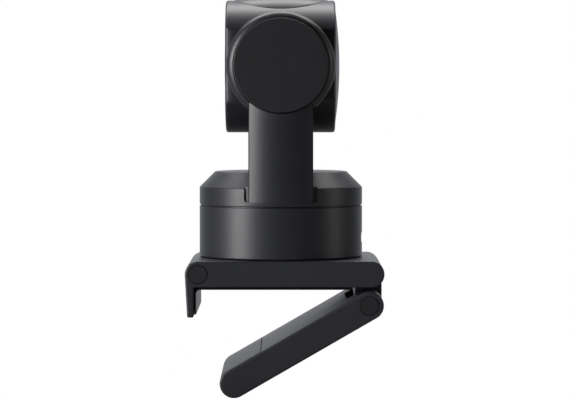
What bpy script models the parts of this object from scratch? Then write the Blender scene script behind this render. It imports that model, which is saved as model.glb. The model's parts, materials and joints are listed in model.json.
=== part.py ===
"""Pan-tilt webcam on a folding monitor clip, as an assembly of separate pieces.

Frame: +Z is up, the lens looks along -Y, the single tilt arm stands on the +X side.
The origin is on the pan axis, on the flat underside that rests on a monitor's top edge.
Three things move: the turntable pans, the head tilts, and the rear leg folds.
"""
import math

import bmesh
import bpy
from mathutils import Euler, Matrix, Vector

MM = 0.001

# ---- shared clearances and mesh fineness --------------------------------------------
FIT = 0.3 * MM             # gap between two pieces that touch on the real object
BORE_FIT = 0.3 * MM        # radial gap between a shaft or pin and its bore
COARSE, MEDIUM, FINE = 12, 24, 40
CUTTER_SPIN = 0.37         # part of a step that round helpers are turned by

# ---- clip: the plate, its front lip and its rear knuckle ----------------------------
CLIP_WIDTH = 60.0 * MM
CLIP_THICK = 9.2 * MM
CLIP_FRONT = 33.3 * MM     # from the pan axis forward to the clip's front face
CLIP_REAR = 36.0 * MM      # from the pan axis back to the clip's rear face
CLIP_EDGE = 0.5 * MM
LINER_THICK = 0.5 * MM     # rubber liner under the plate and behind the lip
LINER_BEND = 2.0 * MM      # outer radius of its bend in the corner
LINER_INSET = 1.0 * MM     # from the clip's sides in to the liner's
LINER_RISE = 1.0 * MM      # how far its lower edge stays above the lip's tip
LINER_SHORT = 1.2 * MM     # how far it stops in front of the knuckle
LIP_CORNER = 0.5 * MM      # rounding of the lip's tip and of the inner corner
LIP_DROP = 9.6 * MM        # how far the lip hangs below the underside
LIP_ROOT = 3.1 * MM        # lip thickness where it leaves the plate
LIP_TIP = 2.3 * MM
LIP_LEAN = 0.8 * MM        # how far the lip's outer face leans back over its length
KNUCKLE_WIDTH = 26.0 * MM
KNUCKLE_RADIUS = 4.75 * MM
KNUCKLE_SET = 0.4 * MM     # how far the knuckle's rear face sits inside the plate's
POCKET_SKIN = 2.6 * MM     # plate left above the knuckle's pocket
TRIPOD_BORE = 3.2 * MM     # radius of the tripod thread
TRIPOD_WALL = 1.6 * MM
TRIPOD_ROOF = 1.6 * MM     # plate left above the tripod thread
TRIPOD_FORWARD = 15.0 * MM                   # the tripod thread, forward of the pan axis

# ---- pins and their caps ------------------------------------------------------------
PIN_RADIUS = 1.6 * MM
HINGE_PIN_RADIUS = 2.0 * MM
PIN_SHORT = 3.0 * MM       # the knuckle pin ends this far inside the plate's sides
KNUCKLE_PIN_DROP = 1.0 * MM                  # knuckle pin below the middle of the plate
CAP_RADIUS = 3.3 * MM
CAP_THICK = 1.1 * MM
CAP_SUNK = 0.15 * MM

# ---- rear leg -----------------------------------------------------------------------
LEG_LENGTH = 54.4 * MM     # hinge centre to the centre of the rounded tip
LEG_THICK = 9.9 * MM
LEG_REST = math.radians(30.0)
LEG_DROP = 10.9 * MM       # hinge centre below the middle of the clip plate
LEG_SLOT = 6.2 * MM        # slot depth past the hinge centre
WASHER_THICK = 0.8 * MM
LEG_PAD_REACH = 13.4 * MM
LEG_PAD_WRAP = math.radians(62.0)
LEG_PAD_THICK = 0.9 * MM
LEG_PAD_INSET = 1.1 * MM

# ---- base ---------------------------------------------------------------------------
BASE_HEIGHT = 18.0 * MM
BASE_WALL = 2.2 * MM
BASE_FLOOR = 2.0 * MM
LABYRINTH = 1.0 * MM       # radial depth and height of the step in the pan seam
PAN_SEAM = 0.4 * MM
DECK_THICK = 2.2 * MM
BEARING_WALL = 3.6 * MM
ROTOR_STEP = 0.8 * MM      # each motor's rotor is this much wider than its bearing
PAN_COIL = 6.0 * MM        # radial thickness of the pan motor's winding
SCREW_CIRCLE = 18.0 * MM
SCREW_RADIUS = 1.1 * MM
SCREW_HEAD = 2.2 * MM
SCREW_HEAD_THICK = 1.5 * MM
USB_WIDTH = 8.9 * MM
USB_HEIGHT = 3.2 * MM
USB_LENGTH = 8.5 * MM
BOARD_THICK = 1.4 * MM

# ---- turntable and arm --------------------------------------------------------------
RING_HEIGHT = 11.8 * MM    # turntable height above the seam
RING_CHAMFER = 5.6 * MM
RING_WALL = 2.0 * MM
PAN_SHAFT = 4.0 * MM
PAN_FLANGE = 9.0 * MM
ARM_WIDTH = 22.6 * MM
ARM_THICK = 6.4 * MM       # from the arm's inner face to the middle of its curved outer one
ARM_INSET = 0.1 * MM       # the arm's outer face inside the base's radius
ARM_RIB = 2.0 * MM         # rib that ties the arm's foot to the turntable's top
ARM_WALL = 2.2 * MM
ARM_NOTCH = 1.5 * MM       # slit each side of the arm where it leaves the turntable
ARM_NOTCH_FLOOR = 1.5 * MM
ARM_COVER = 1.5 * MM
HUB_RADIUS = 19.0 * MM
HUB_CHAMFER = 2.1 * MM
HUB_SINK = 2.4 * MM        # the hub's face is this far inside the arm's outer face
HUB_FILLET = 3.0 * MM      # rounding where the hub's edge runs into the arm's sides
HUB_RIM = 2.5 * MM         # the hub's rim outside its round cap
HUB_CAP_DEPTH = 3.2 * MM
HUB_CAP_SKIN = 1.5 * MM
HUB_CAP_CROWN = 0.1 * MM
HUB_CAP_EDGE = 0.3 * MM
TILT_SHAFT = 3.0 * MM
TILT_FLANGE = 6.5 * MM
TILT_RISE = 37.3 * MM      # height of the tilt axis above the turntable's top
COVER_SCREW_RISE = 3.4 * MM                  # cover screws above the turntable's top
COVER_SCREW_SIDE = 6.0 * MM                  # and either side of the arm's middle

# ---- head ---------------------------------------------------------------------------
HEAD_RADIUS = 23.5 * MM
HEAD_FRONT = 19.5 * MM     # from the tilt axis forward to the front face
HEAD_REAR = 19.25 * MM     # from the tilt axis back to the shell's rear edge
HEAD_TRIM = 3.5 * MM       # how far the flat that faces the arm is inside the round
HEAD_WALL = 1.6 * MM
HEAD_FRONT_WALL = 3.0 * MM
HEAD_EDGE = 0.9 * MM
ARM_GAP = 0.7 * MM         # running gap between the head's flat and the arm
REAR_DOME = 1.7 * MM
REAR_COVER_THICK = 1.6 * MM
GLASS_RIM = 1.4 * MM       # from the flat in to the front glass's edge
GLASS_THICK = 1.2 * MM
LENS_RING = 9.3 * MM
LENS_BARREL = 8.2 * MM
LENS_WALL = 1.6 * MM
LIGHT_RADIUS = 0.9 * MM
LIGHT_DROP = 14.0 * MM     # indicator light below the lens axis
TOP_CAP_RISE = 1.55 * MM   # how far the top cap stands above the head
TOP_CAP_HALF = (15.1 * MM, 34.5 * MM, 12.0 * MM)    # half sizes of the dome it is cut from
TOP_CAP_OVAL = (12.0 * MM, 16.8 * MM)        # the cap's half width and half length
TOP_CAP_SINK = 0.6 * MM
BOARD_MARGIN = 7.0 * MM    # from the flat in to the edge of the head's boards
HOLDER_HALF = 11.0 * MM    # half width of the lens holder and the heat sink

# ---- places worked out from the sizes above -----------------------------------------
PLATE_BOTTOM = LINER_THICK + FIT
PLATE_TOP = PLATE_BOTTOM + CLIP_THICK
PLATE_MID = PLATE_BOTTOM + CLIP_THICK / 2
END_RADIUS = CLIP_THICK / 2
FRONT_AXIS = -CLIP_FRONT + END_RADIUS
REAR_AXIS = CLIP_REAR - END_RADIUS
LEG_AXIS = Vector((0.0, CLIP_REAR - KNUCKLE_RADIUS - KNUCKLE_SET, PLATE_MID - LEG_DROP))
SLOT_HALF = KNUCKLE_WIDTH / 2 + WASHER_THICK + 2 * FIT
HEAD_FLAT = HEAD_RADIUS - HEAD_TRIM
COVER_IN = HEAD_FLAT + ARM_GAP
COVER_OUT = COVER_IN + ARM_COVER
ARM_IN = COVER_OUT + FIT
ARM_OUT = ARM_IN + ARM_THICK
BASE_RADIUS = ARM_OUT + ARM_INSET
HUB_FACE = ARM_OUT - HUB_SINK
HUB_CAP = HUB_RADIUS - HUB_RIM
BASE_BOTTOM = PLATE_TOP + FIT
BASE_TOP = BASE_BOTTOM + BASE_HEIGHT
RING_BOTTOM = BASE_TOP + PAN_SEAM
RING_TOP = RING_BOTTOM + RING_HEIGHT
TILT_AXIS = RING_TOP + TILT_RISE
SHOULDER = RING_TOP - RING_CHAMFER
BASE_BORE = BASE_RADIUS - BASE_WALL
DECK_TOP = BASE_TOP - FIT
DECK_BOTTOM = DECK_TOP - DECK_THICK
BOARD_BOTTOM = BASE_BOTTOM + BASE_FLOOR + 1.3 * MM
BOARD_TOP = BOARD_BOTTOM + BOARD_THICK
MOTOR_BOTTOM = BASE_BOTTOM + BASE_FLOOR + 2.5 * MM
FLOOR_BOTTOM = RING_BOTTOM + LABYRINTH + FIT
FLOOR_TOP = FLOOR_BOTTOM + DECK_THICK
HUB_BORE = HUB_CAP + BORE_FIT
HEAD_CAVITY_FRONT = HEAD_FRONT - HEAD_FRONT_WALL
GLASS_RADIUS = HEAD_FLAT - GLASS_RIM
TRIPOD_PLACE = (0.0, -TRIPOD_FORWARD, 0.0)
INSERT_RADIUS = TRIPOD_BORE + TRIPOD_WALL
KNUCKLE_PIN_PLACE = (0.0, REAR_AXIS, PLATE_MID - KNUCKLE_PIN_DROP)
PIN_HALF = CLIP_WIDTH / 2 - PIN_SHORT
CAP_FLOOR = CLIP_WIDTH / 2 - CAP_SUNK - CAP_THICK - FIT
PAN_BEARING_OUT = PAN_SHAFT + BORE_FIT + BEARING_WALL
PAN_ROTOR_OUT = PAN_BEARING_OUT + ROTOR_STEP
TILT_BEARING_OUT = TILT_SHAFT + BORE_FIT + BEARING_WALL
TILT_ROTOR_OUT = TILT_BEARING_OUT + ROTOR_STEP

ROUND_X = (math.pi / 2, 0.0, math.pi / 2)    # local z along +X, local x,y along Y,Z
ROUND_FRONT = (math.pi / 2, 0.0, 0.0)        # local z along -Y, local x,y along X,Z
ROUND_REAR = (-math.pi / 2, 0.0, 0.0)        # local z along +Y
ROUND_Z = (0.0, 0.0, 0.0)
UPSIDE_DOWN = (math.pi, 0.0, 0.0)            # local z along -Z
TOWARDS_ARM = (0.0, -math.pi / 2, 0.0)       # local z along -X


# ---- scene and materials ------------------------------------------------------------
for old in list(bpy.data.objects):
    bpy.data.objects.remove(old, do_unlink=True)

parts = bpy.data.collections.new("pan_tilt_webcam")
cutters = bpy.data.collections.new("cutters")
bpy.context.scene.collection.children.link(parts)
bpy.context.scene.collection.children.link(cutters)


def material(name, colour, roughness, metallic=0.0):
    """A Principled material with one colour, roughness and metallic value."""
    made = bpy.data.materials.new(name)
    made.use_nodes = True
    shader = made.node_tree.nodes["Principled BSDF"]
    shader.inputs["Base Color"].default_value = (*colour, 1.0)
    shader.inputs["Roughness"].default_value = roughness
    shader.inputs["Metallic"].default_value = metallic
    return made


CHARCOAL = material("charcoal_plastic", (0.042, 0.043, 0.048), 0.42)
CLIP = material("charcoal_clip_plastic", (0.045, 0.046, 0.051), 0.45)
DARK_CAP = material("dark_cap_plastic", (0.026, 0.027, 0.030), 0.38)
RUBBER = material("black_rubber", (0.018, 0.018, 0.020), 0.75)
GLASS = material("black_glass", (0.006, 0.006, 0.008), 0.08)
CLEAR = material("coated_lens_glass", (0.02, 0.02, 0.05), 0.04)
STEEL = material("steel", (0.55, 0.55, 0.56), 0.30, 1.0)
BRASS = material("brass", (0.70, 0.50, 0.22), 0.32, 1.0)
COPPER = material("copper_winding", (0.62, 0.27, 0.14), 0.35, 1.0)
ALUMINIUM = material("aluminium", (0.62, 0.63, 0.65), 0.34, 1.0)
BOARD = material("green_circuit_board", (0.02, 0.13, 0.06), 0.45)
CHIP = material("black_chip", (0.02, 0.02, 0.02), 0.5)
LIGHT = material("indicator_window", (0.25, 0.65, 0.35), 0.3)


# ---- makers -------------------------------------------------------------------------
def place(body, location, turn, collection):
    """Move an object into its collection at a location and rotation."""
    for home in list(body.users_collection):
        home.objects.unlink(body)
    collection.objects.link(body)
    body.location = location
    body.rotation_euler = turn
    return body


def mesh_object(name, verts, edges=()):
    """An object from points and edges, for a profile that a modifier turns."""
    data = bpy.data.meshes.new(name)
    data.from_pydata(verts, edges, [])
    return bpy.data.objects.new(name, data)


def turned(name, profile, location=(0, 0, 0), turn=ROUND_Z, steps=MEDIUM, collection=None):
    """Turn a profile of (radius, height) points about the local z axis.

    The points run down the outer side. A profile that starts and ends on the axis is
    left open there; any other is closed, and makes a ring.
    """
    verts = [(radius, 0.0, height) for radius, height in profile]
    edges = [(i, i + 1) for i in range(len(verts) - 1)]
    if profile[0][0] > 0 or profile[-1][0] > 0:
        edges.append((len(verts) - 1, 0))
    body = mesh_object(name, verts, edges)
    place(body, location, turn, collection or parts)
    screw = body.modifiers.new("turn", "SCREW")
    screw.axis = "Z"
    screw.steps = steps
    screw.render_steps = steps
    screw.use_merge_vertices = True
    screw.merge_threshold = 0.00001
    screw.use_smooth_shade = True
    return body


def rod(name, radius, low, high, location=(0, 0, 0), turn=ROUND_Z, steps=COARSE,
        collection=None):
    """A plain round bar from low to high along its own axis.

    A helper is turned by part of a step, so that its corners miss the body's edges.
    """
    bpy.ops.mesh.primitive_cylinder_add(vertices=steps, radius=radius, depth=high - low)
    body = bpy.context.object
    body.name = name
    if collection is cutters:
        body.data.transform(Matrix.Rotation(CUTTER_SPIN * 2 * math.pi / steps, 4, "Z"))
    middle = Vector((0, 0, (low + high) / 2))
    middle.rotate(Euler(turn))
    return place(body, Vector(location) + middle, turn, collection or parts)


def stepped_hole(name, narrow, wide, low, step, high, location, turn=ROUND_Z, steps=COARSE):
    """A helper for a hole that is narrow from low to step and wide from step to high."""
    profile = [(0, high), (wide, high), (wide, step), (narrow, step), (narrow, low), (0, low)]
    body = turned(name, profile, location, turn, steps, cutters)
    body.data.transform(Matrix.Rotation(CUTTER_SPIN * 2 * math.pi / steps, 4, "Z"))
    return body


def ring(name, outer, inner, low, high, location=(0, 0, 0), turn=ROUND_Z, steps=MEDIUM):
    """A plain ring of square section."""
    profile = [(inner, high), (outer, high), (outer, low), (inner, low)]
    return turned(name, profile, location, turn, steps)


def block(name, low, high, collection=None):
    """A box from its lowest to its highest corner."""
    low, high = Vector(low), Vector(high)
    bpy.ops.mesh.primitive_cube_add(size=1.0)
    body = bpy.context.object
    body.name = name
    for vert in body.data.vertices:
        vert.co = Vector([vert.co[i] * (high[i] - low[i]) for i in range(3)])
    return place(body, (low + high) / 2, ROUND_Z, collection or parts)


def arc(centre, radius, start, end, count):
    """Points on an arc, both ends included; angles in degrees."""
    angles = [math.radians(start + (end - start) * i / count) for i in range(count + 1)]
    return [(centre[0] + radius * math.cos(a), centre[1] + radius * math.sin(a))
            for a in angles]


def extruded(name, outline, length, location, turn, collection=None):
    """A flat outline given thickness along its own normal, as a mesh."""
    curve = bpy.data.curves.new(name, "CURVE")
    curve.dimensions = "2D"
    curve.fill_mode = "BOTH"
    curve.extrude = length / 2
    spline = curve.splines.new("POLY")
    spline.points.add(len(outline) - 1)
    for point, (u, v) in zip(spline.points, outline):
        point.co = (u, v, 0.0, 1.0)
    spline.use_cyclic_u = True
    sketch = bpy.data.objects.new(name + "_sketch", curve)
    bpy.context.scene.collection.objects.link(sketch)
    bpy.context.view_layer.update()
    graph = bpy.context.evaluated_depsgraph_get()
    data = bpy.data.meshes.new_from_object(sketch.evaluated_get(graph))
    bpy.data.objects.remove(sketch, do_unlink=True)
    weld = bmesh.new()
    weld.from_mesh(data)
    bmesh.ops.remove_doubles(weld, verts=weld.verts, dist=0.000001)
    bmesh.ops.dissolve_limit(weld, angle_limit=0.001, verts=weld.verts, edges=weld.edges)
    weld.to_mesh(data)
    weld.free()
    data.name = name
    return place(bpy.data.objects.new(name, data), location, turn, collection or parts)


def bevel(body, width, segments=2, angle=50.0):
    """Round the edges sharper than the angle."""
    edge = body.modifiers.new("bevel", "BEVEL")
    edge.width = width
    edge.segments = segments
    edge.limit_method = "ANGLE"
    edge.angle_limit = math.radians(angle)
    return body


def join(body, tool, operation):
    """Add one Boolean to a body, with a helper that is hidden and left out."""
    boolean = body.modifiers.new(operation.lower(), "BOOLEAN")
    boolean.operation = operation
    boolean.solver = "EXACT"
    boolean.object = tool
    tool.hide_render = True
    tool.display_type = "WIRE"
    return body


def cut(body, *tools):
    """Take each helper's shape out of the body."""
    for tool in tools:
        join(body, tool, "DIFFERENCE")
    return body


def empty(name, location, parent=None):
    """A joint: an empty on its axis, which the moving pieces hang from."""
    joint = bpy.data.objects.new(name, None)
    joint.empty_display_size = 10 * MM
    joint.location = location
    parts.objects.link(joint)
    if parent:
        hang(joint, parent)
    bpy.context.view_layer.update()
    return joint


def hang(body, parent):
    """Parent a body and leave it where it is."""
    body.parent = parent
    body.matrix_parent_inverse = parent.matrix_world.inverted()


def finish(body, finish_material, parent=None):
    """Give a piece its material, smooth shading and joint."""
    body.data.materials.clear()
    body.data.materials.append(finish_material)
    body.data.shade_smooth()
    body.data.set_sharp_from_angle(angle=math.radians(35))
    if parent:
        hang(body, parent)
    return body


def screw(name, location, turn, length, finish_material, parent=None):
    """A pan-head screw: its head sits above local z = 0 and its shank below."""
    socket = SCREW_HEAD * 0.45
    depth = SCREW_HEAD_THICK * 0.55
    profile = [(0, SCREW_HEAD_THICK - depth), (socket, SCREW_HEAD_THICK - depth),
               (socket, SCREW_HEAD_THICK), (SCREW_HEAD * 0.85, SCREW_HEAD_THICK),
               (SCREW_HEAD, SCREW_HEAD_THICK * 0.6), (SCREW_HEAD, 0),
               (SCREW_RADIUS, 0), (SCREW_RADIUS, -length), (0, -length)]
    body = turned(name, profile, location, turn, COARSE)
    return finish(body, finish_material, parent)


def ring_places(count, radius, start=0.0):
    """Points evenly round a circle in the XY plane; the start angle is in degrees."""
    angles = [math.radians(start + 360.0 * i / count) for i in range(count)]
    return [(radius * math.cos(a), radius * math.sin(a)) for a in angles]


# ---- joints -------------------------------------------------------------------------
pan_axis = empty("pan_axis", (0, 0, RING_BOTTOM))
tilt_axis = empty("tilt_axis", (0, 0, TILT_AXIS), pan_axis)
leg_axis = empty("leg_axis", LEG_AXIS)
SCREW_PLACES = ring_places(3, SCREW_CIRCLE, 90.0)


# ---- clip ---------------------------------------------------------------------------
def clip_outline():
    """Side outline of the plate with its lip, as (y, z) points, anticlockwise."""
    corner = LIP_CORNER
    tip = -LIP_DROP
    outer_tip = -CLIP_FRONT + LIP_LEAN
    inner_tip = outer_tip + LIP_TIP
    inner_root = -CLIP_FRONT + LIP_ROOT
    points = [(-CLIP_FRONT, PLATE_MID)]
    points += arc((outer_tip + corner, tip + corner), corner, 180, 270, 3)
    points += arc((inner_tip - corner, tip + corner), corner, 270, 360, 3)
    points += arc((inner_root + corner, PLATE_BOTTOM - corner), corner, 180, 90, 3)
    points += arc((REAR_AXIS, PLATE_MID), END_RADIUS, -90, 90, 18)
    points += arc((FRONT_AXIS, PLATE_MID), END_RADIUS, 90, 180, 9)[:-1]
    return points


def liner_outline():
    """Side outline of the rubber liner, as (y, z): flat under the plate, then down the lip."""
    face = -CLIP_FRONT + LIP_ROOT + FIT
    inside = face + LINER_THICK
    low = LINER_RISE - LIP_DROP
    centre = (face + LINER_BEND, LINER_THICK - LINER_BEND)
    rear = LEG_AXIS.y - KNUCKLE_RADIUS - LINER_SHORT
    points = [(rear, 0.0), (rear, LINER_THICK)] + arc(centre, LINER_BEND, 90, 180, 6)
    points += [(face, low), (inside, low)]
    return points + arc(centre, LINER_BEND - LINER_THICK, 180, 90, 6)


def make_clip():
    """The clip plate with its pockets, and everything fastened to it."""
    plate = extruded("clip_plate", clip_outline(), CLIP_WIDTH, (0, 0, 0), ROUND_X)
    bevel(plate, CLIP_EDGE)
    pocket = block("knuckle_pocket",
                   (-KNUCKLE_WIDTH / 2 - FIT, LEG_AXIS.y - KNUCKLE_RADIUS - FIT, -LIP_DROP),
                   (KNUCKLE_WIDTH / 2 + FIT, CLIP_REAR + END_RADIUS, PLATE_TOP - POCKET_SKIN),
                   cutters)
    cut(plate, pocket,
        pin_hole("front_pin_hole", PIN_RADIUS, (0, FRONT_AXIS, PLATE_MID)),
        rod("tripod_seat", INSERT_RADIUS + BORE_FIT, -LIP_DROP,
            PLATE_TOP - TRIPOD_ROOF + FIT, TRIPOD_PLACE, ROUND_Z, MEDIUM, cutters),
        rod("knuckle_pin_hole", PIN_RADIUS + BORE_FIT, -PIN_HALF - FIT, PIN_HALF + FIT,
            KNUCKLE_PIN_PLACE, ROUND_X, COARSE, cutters))
    for number, (x, y) in enumerate(SCREW_PLACES, 1):
        cut(plate, stepped_hole(f"plate_screw_hole_{number}", SCREW_RADIUS + BORE_FIT,
                                SCREW_HEAD + BORE_FIT, -PLATE_TOP - FIT,
                                -PLATE_BOTTOM - SCREW_HEAD_THICK - 2 * FIT, FIT,
                                (x, y, 0), UPSIDE_DOWN))
    finish(plate, CLIP)

    liner = extruded("clip_liner", liner_outline(),
                     CLIP_WIDTH - 2 * LINER_INSET, (0, 0, 0), ROUND_X)
    cut(liner, rod("liner_hole", INSERT_RADIUS + BORE_FIT, -FIT, PLATE_BOTTOM, TRIPOD_PLACE,
                   ROUND_Z, MEDIUM, cutters))
    finish(liner, RUBBER)

    finish(ring("tripod_insert", INSERT_RADIUS, TRIPOD_BORE, PLATE_BOTTOM,
                PLATE_TOP - TRIPOD_ROOF, TRIPOD_PLACE), BRASS)
    finish(rod("front_pin", PIN_RADIUS, -CAP_FLOOR + FIT, CAP_FLOOR - FIT,
               (0, FRONT_AXIS, PLATE_MID), ROUND_X), STEEL)
    make_caps("front_pin_cap", (0, FRONT_AXIS, PLATE_MID))
    for number, (x, y) in enumerate(SCREW_PLACES, 1):
        screw(f"base_screw_{number}", (x, y, PLATE_BOTTOM + SCREW_HEAD_THICK + FIT),
              UPSIDE_DOWN, CLIP_THICK, STEEL)


def pin_hole(name, radius, centre):
    """A helper for a pin's bore across the clip with a seat for a cap at each end."""
    wide, narrow, end = CAP_RADIUS + BORE_FIT, radius + BORE_FIT, CLIP_WIDTH * 0.55
    profile = [(0, end), (wide, end), (wide, CAP_FLOOR), (narrow, CAP_FLOOR),
               (narrow, -CAP_FLOOR), (wide, -CAP_FLOOR), (wide, -end), (0, -end)]
    return turned(name, profile, centre, ROUND_X, MEDIUM, cutters)


def make_caps(name, centre, parent=None):
    """The two round caps that close a cross pin's ends, a little below the surface."""
    for side, sign in (("left", 1), ("right", -1)):
        edge = 0.15 * MM
        low, high = sorted((sign * (CAP_FLOOR + FIT), sign * (CAP_FLOOR + FIT + CAP_THICK)))
        profile = [(0, high), (CAP_RADIUS - edge, high), (CAP_RADIUS, high - edge),
                   (CAP_RADIUS, low + edge), (CAP_RADIUS - edge, low), (0, low)]
        cap = turned(f"{name}_{side}", profile, centre, ROUND_X, MEDIUM)
        finish(cap, DARK_CAP, parent)


def make_knuckle():
    """The knuckle under the plate's rear edge, which carries the leg's hinge pin."""
    radius = KNUCKLE_RADIUS
    top = PLATE_TOP - POCKET_SKIN - FIT
    corner = 1.5 * MM
    y, z = LEG_AXIS.y, LEG_AXIS.z
    outline = arc((y, z), radius, 180, 360, 16)
    outline += arc((y + radius - corner, top - corner), corner, 0, 90, 4)
    outline += [(y - radius, top)]
    knuckle = extruded("rear_knuckle", outline, KNUCKLE_WIDTH, (0, 0, 0), ROUND_X)
    bevel(knuckle, 0.3 * MM, 1)
    cut(knuckle,
        rod("hinge_pin_bore", HINGE_PIN_RADIUS + BORE_FIT, -PIN_HALF, PIN_HALF, LEG_AXIS,
            ROUND_X, COARSE, cutters),
        rod("knuckle_pin_bore", PIN_RADIUS + BORE_FIT, -PIN_HALF, PIN_HALF,
            KNUCKLE_PIN_PLACE, ROUND_X, COARSE, cutters))
    finish(knuckle, CLIP)
    finish(rod("knuckle_pin", PIN_RADIUS, -PIN_HALF, PIN_HALF, KNUCKLE_PIN_PLACE, ROUND_X), STEEL)
    finish(rod("leg_hinge_pin", HINGE_PIN_RADIUS, -CAP_FLOOR + FIT, CAP_FLOOR - FIT, LEG_AXIS,
               ROUND_X), STEEL)


# ---- rear leg -----------------------------------------------------------------------
def leg_strip(inner, outer, reach, wrap):
    """Outline of a strip that lies on the leg's upper face and wraps over its tip.

    The leg runs from (0, 0) to (-LEG_LENGTH, 0); inner and outer are distances from
    its middle line, reach is how far the strip comes back from the tip's centre, and
    wrap is the angle that it covers round the tip.
    """
    turn = 90 + math.degrees(wrap)
    points = [(-LEG_LENGTH + reach, inner), (-LEG_LENGTH + reach, outer)]
    points += arc((-LEG_LENGTH, 0), outer, 90, turn, 10)
    points += arc((-LEG_LENGTH, 0), inner, turn, 90, 10)
    return points


def make_leg():
    """The folding rear leg, drawn level and turned down to its rest angle."""
    radius = LEG_THICK / 2
    outline = arc((0, 0), radius, -90, 90, 18) + arc((-LEG_LENGTH, 0), radius, 90, 270, 18)
    leg = extruded("rear_leg", outline, CLIP_WIDTH, LEG_AXIS, ROUND_X)
    bevel(leg, CLIP_EDGE)
    slot = block("leg_slot", (-SLOT_HALF, -LEG_SLOT, -LEG_THICK),
                 (SLOT_HALF, LEG_THICK, LEG_THICK), cutters)
    slot.location += LEG_AXIS
    recess = extruded("pad_recess",
                      leg_strip(radius - LEG_PAD_THICK - FIT, radius + 2 * MM,
                                LEG_PAD_REACH + FIT, LEG_PAD_WRAP + math.radians(4)),
                      CLIP_WIDTH - 2 * (LEG_PAD_INSET - FIT), LEG_AXIS, ROUND_X, cutters)
    bore = pin_hole("leg_pin_hole", HINGE_PIN_RADIUS, LEG_AXIS)
    cut(leg, slot, recess, bore)
    finish(leg, CLIP, leg_axis)

    pad = extruded("leg_pad",
                   leg_strip(radius - LEG_PAD_THICK, radius + 0.05 * MM, LEG_PAD_REACH,
                             LEG_PAD_WRAP),
                   CLIP_WIDTH - 2 * LEG_PAD_INSET, LEG_AXIS, ROUND_X)
    finish(pad, RUBBER, leg_axis)
    make_caps("leg_pin_cap", LEG_AXIS, leg_axis)
    for side, sign in (("left", 1), ("right", -1)):
        span = sorted((sign * (KNUCKLE_WIDTH / 2 + FIT),
                       sign * (KNUCKLE_WIDTH / 2 + FIT + WASHER_THICK)))
        washer = ring("leg_washer_" + side, HINGE_PIN_RADIUS + BORE_FIT + 1.9 * MM,
                      HINGE_PIN_RADIUS + BORE_FIT, *span, LEG_AXIS, ROUND_X, COARSE)
        finish(washer, STEEL, leg_axis)
    for body in (slot, recess, bore):
        hang(body, leg_axis)
    leg_axis.rotation_euler.x = LEG_REST
    bpy.context.view_layer.update()


# ---- base ---------------------------------------------------------------------------
def make_base():
    """The fixed base: a cup, its deck, the pan motor's fixed half and the board."""
    rim = 0.3 * MM
    foot = 0.4 * MM
    lip_out = BASE_RADIUS - LABYRINTH
    ledge = BASE_BORE - 1.4 * MM
    floor_top = BASE_BOTTOM + BASE_FLOOR
    ledge_top = DECK_BOTTOM - FIT
    profile = [(0, floor_top), (ledge, floor_top), (ledge, ledge_top), (BASE_BORE, ledge_top),
               (BASE_BORE, BASE_TOP + LABYRINTH), (lip_out, BASE_TOP + LABYRINTH),
               (lip_out, BASE_TOP), (BASE_RADIUS - rim, BASE_TOP),
               (BASE_RADIUS, BASE_TOP - rim), (BASE_RADIUS, BASE_BOTTOM + foot),
               (BASE_RADIUS - foot, BASE_BOTTOM), (0, BASE_BOTTOM)]
    housing = turned("base_housing", profile, steps=FINE)
    usb_mid = BOARD_TOP + FIT + USB_HEIGHT / 2
    mouth = FIT
    cut(housing, block("usb_mouth",
                       (-USB_WIDTH / 2 - mouth, ledge - 2 * MM, usb_mid - USB_HEIGHT / 2 - mouth),
                       (USB_WIDTH / 2 + mouth, BASE_RADIUS + MM, usb_mid + USB_HEIGHT / 2 + mouth),
                       cutters))
    for number, (x, y) in enumerate(SCREW_PLACES, 1):
        cut(housing, rod(f"floor_screw_hole_{number}", SCREW_RADIUS + BORE_FIT,
                         PLATE_TOP, floor_top + FIT, (x, y, 0), collection=cutters))
    finish(housing, CHARCOAL)

    finish(ring("base_deck", BASE_BORE - FIT, PAN_BEARING_OUT + FIT, DECK_BOTTOM, DECK_TOP,
                steps=FINE), CHARCOAL)
    finish(ring("pan_bearing", PAN_BEARING_OUT, PAN_SHAFT + BORE_FIT, DECK_BOTTOM, DECK_TOP),
           STEEL)
    coil_out = PAN_ROTOR_OUT + FIT + PAN_COIL
    finish(ring("pan_stator", coil_out, PAN_ROTOR_OUT + FIT, MOTOR_BOTTOM,
                DECK_BOTTOM - 3 * FIT), COPPER)
    finish(ring("main_board", ledge - FIT, coil_out + FIT, BOARD_BOTTOM, BOARD_TOP,
                steps=FINE), BOARD)
    socket = block("usb_socket", (-USB_WIDTH / 2, BASE_RADIUS - 0.6 * MM - USB_LENGTH,
                                  usb_mid - USB_HEIGHT / 2),
                   (USB_WIDTH / 2, BASE_RADIUS - 0.6 * MM, usb_mid + USB_HEIGHT / 2))
    bevel(socket, 0.6 * MM, 3)
    shell = 0.35 * MM
    cut(socket, block("usb_hollow",
                      (-USB_WIDTH / 2 + shell, BASE_RADIUS - USB_LENGTH + MM,
                       usb_mid - USB_HEIGHT / 2 + shell),
                      (USB_WIDTH / 2 - shell, BASE_RADIUS + MM,
                       usb_mid + USB_HEIGHT / 2 - shell), cutters))
    finish(socket, STEEL)


# ---- turntable and arm --------------------------------------------------------------
def arm_outline():
    """Plan outline of the arm, as (x, y): round the pan axis outside and flat inside."""
    half = ARM_WIDTH / 2
    reach = math.degrees(math.asin(half / ARM_OUT))
    return arc((0, 0), ARM_OUT, -reach, reach, 10) + [(ARM_IN, half), (ARM_IN, -half)]


def web_outline():
    """Outline of the webs that round off the corners between the arm and the hub."""
    half = ARM_WIDTH / 2
    side = half + HUB_FILLET
    drop = -math.sqrt((HUB_RADIUS + HUB_FILLET) ** 2 - side ** 2)
    meet = math.degrees(math.atan2(-drop, side))
    points = arc((side, drop), HUB_FILLET, 180, 180 - meet, 5)
    inner = [(half / 2, -half), (-half / 2, -half)]
    return points + inner + [(-y, z) for y, z in reversed(points)]


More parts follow.
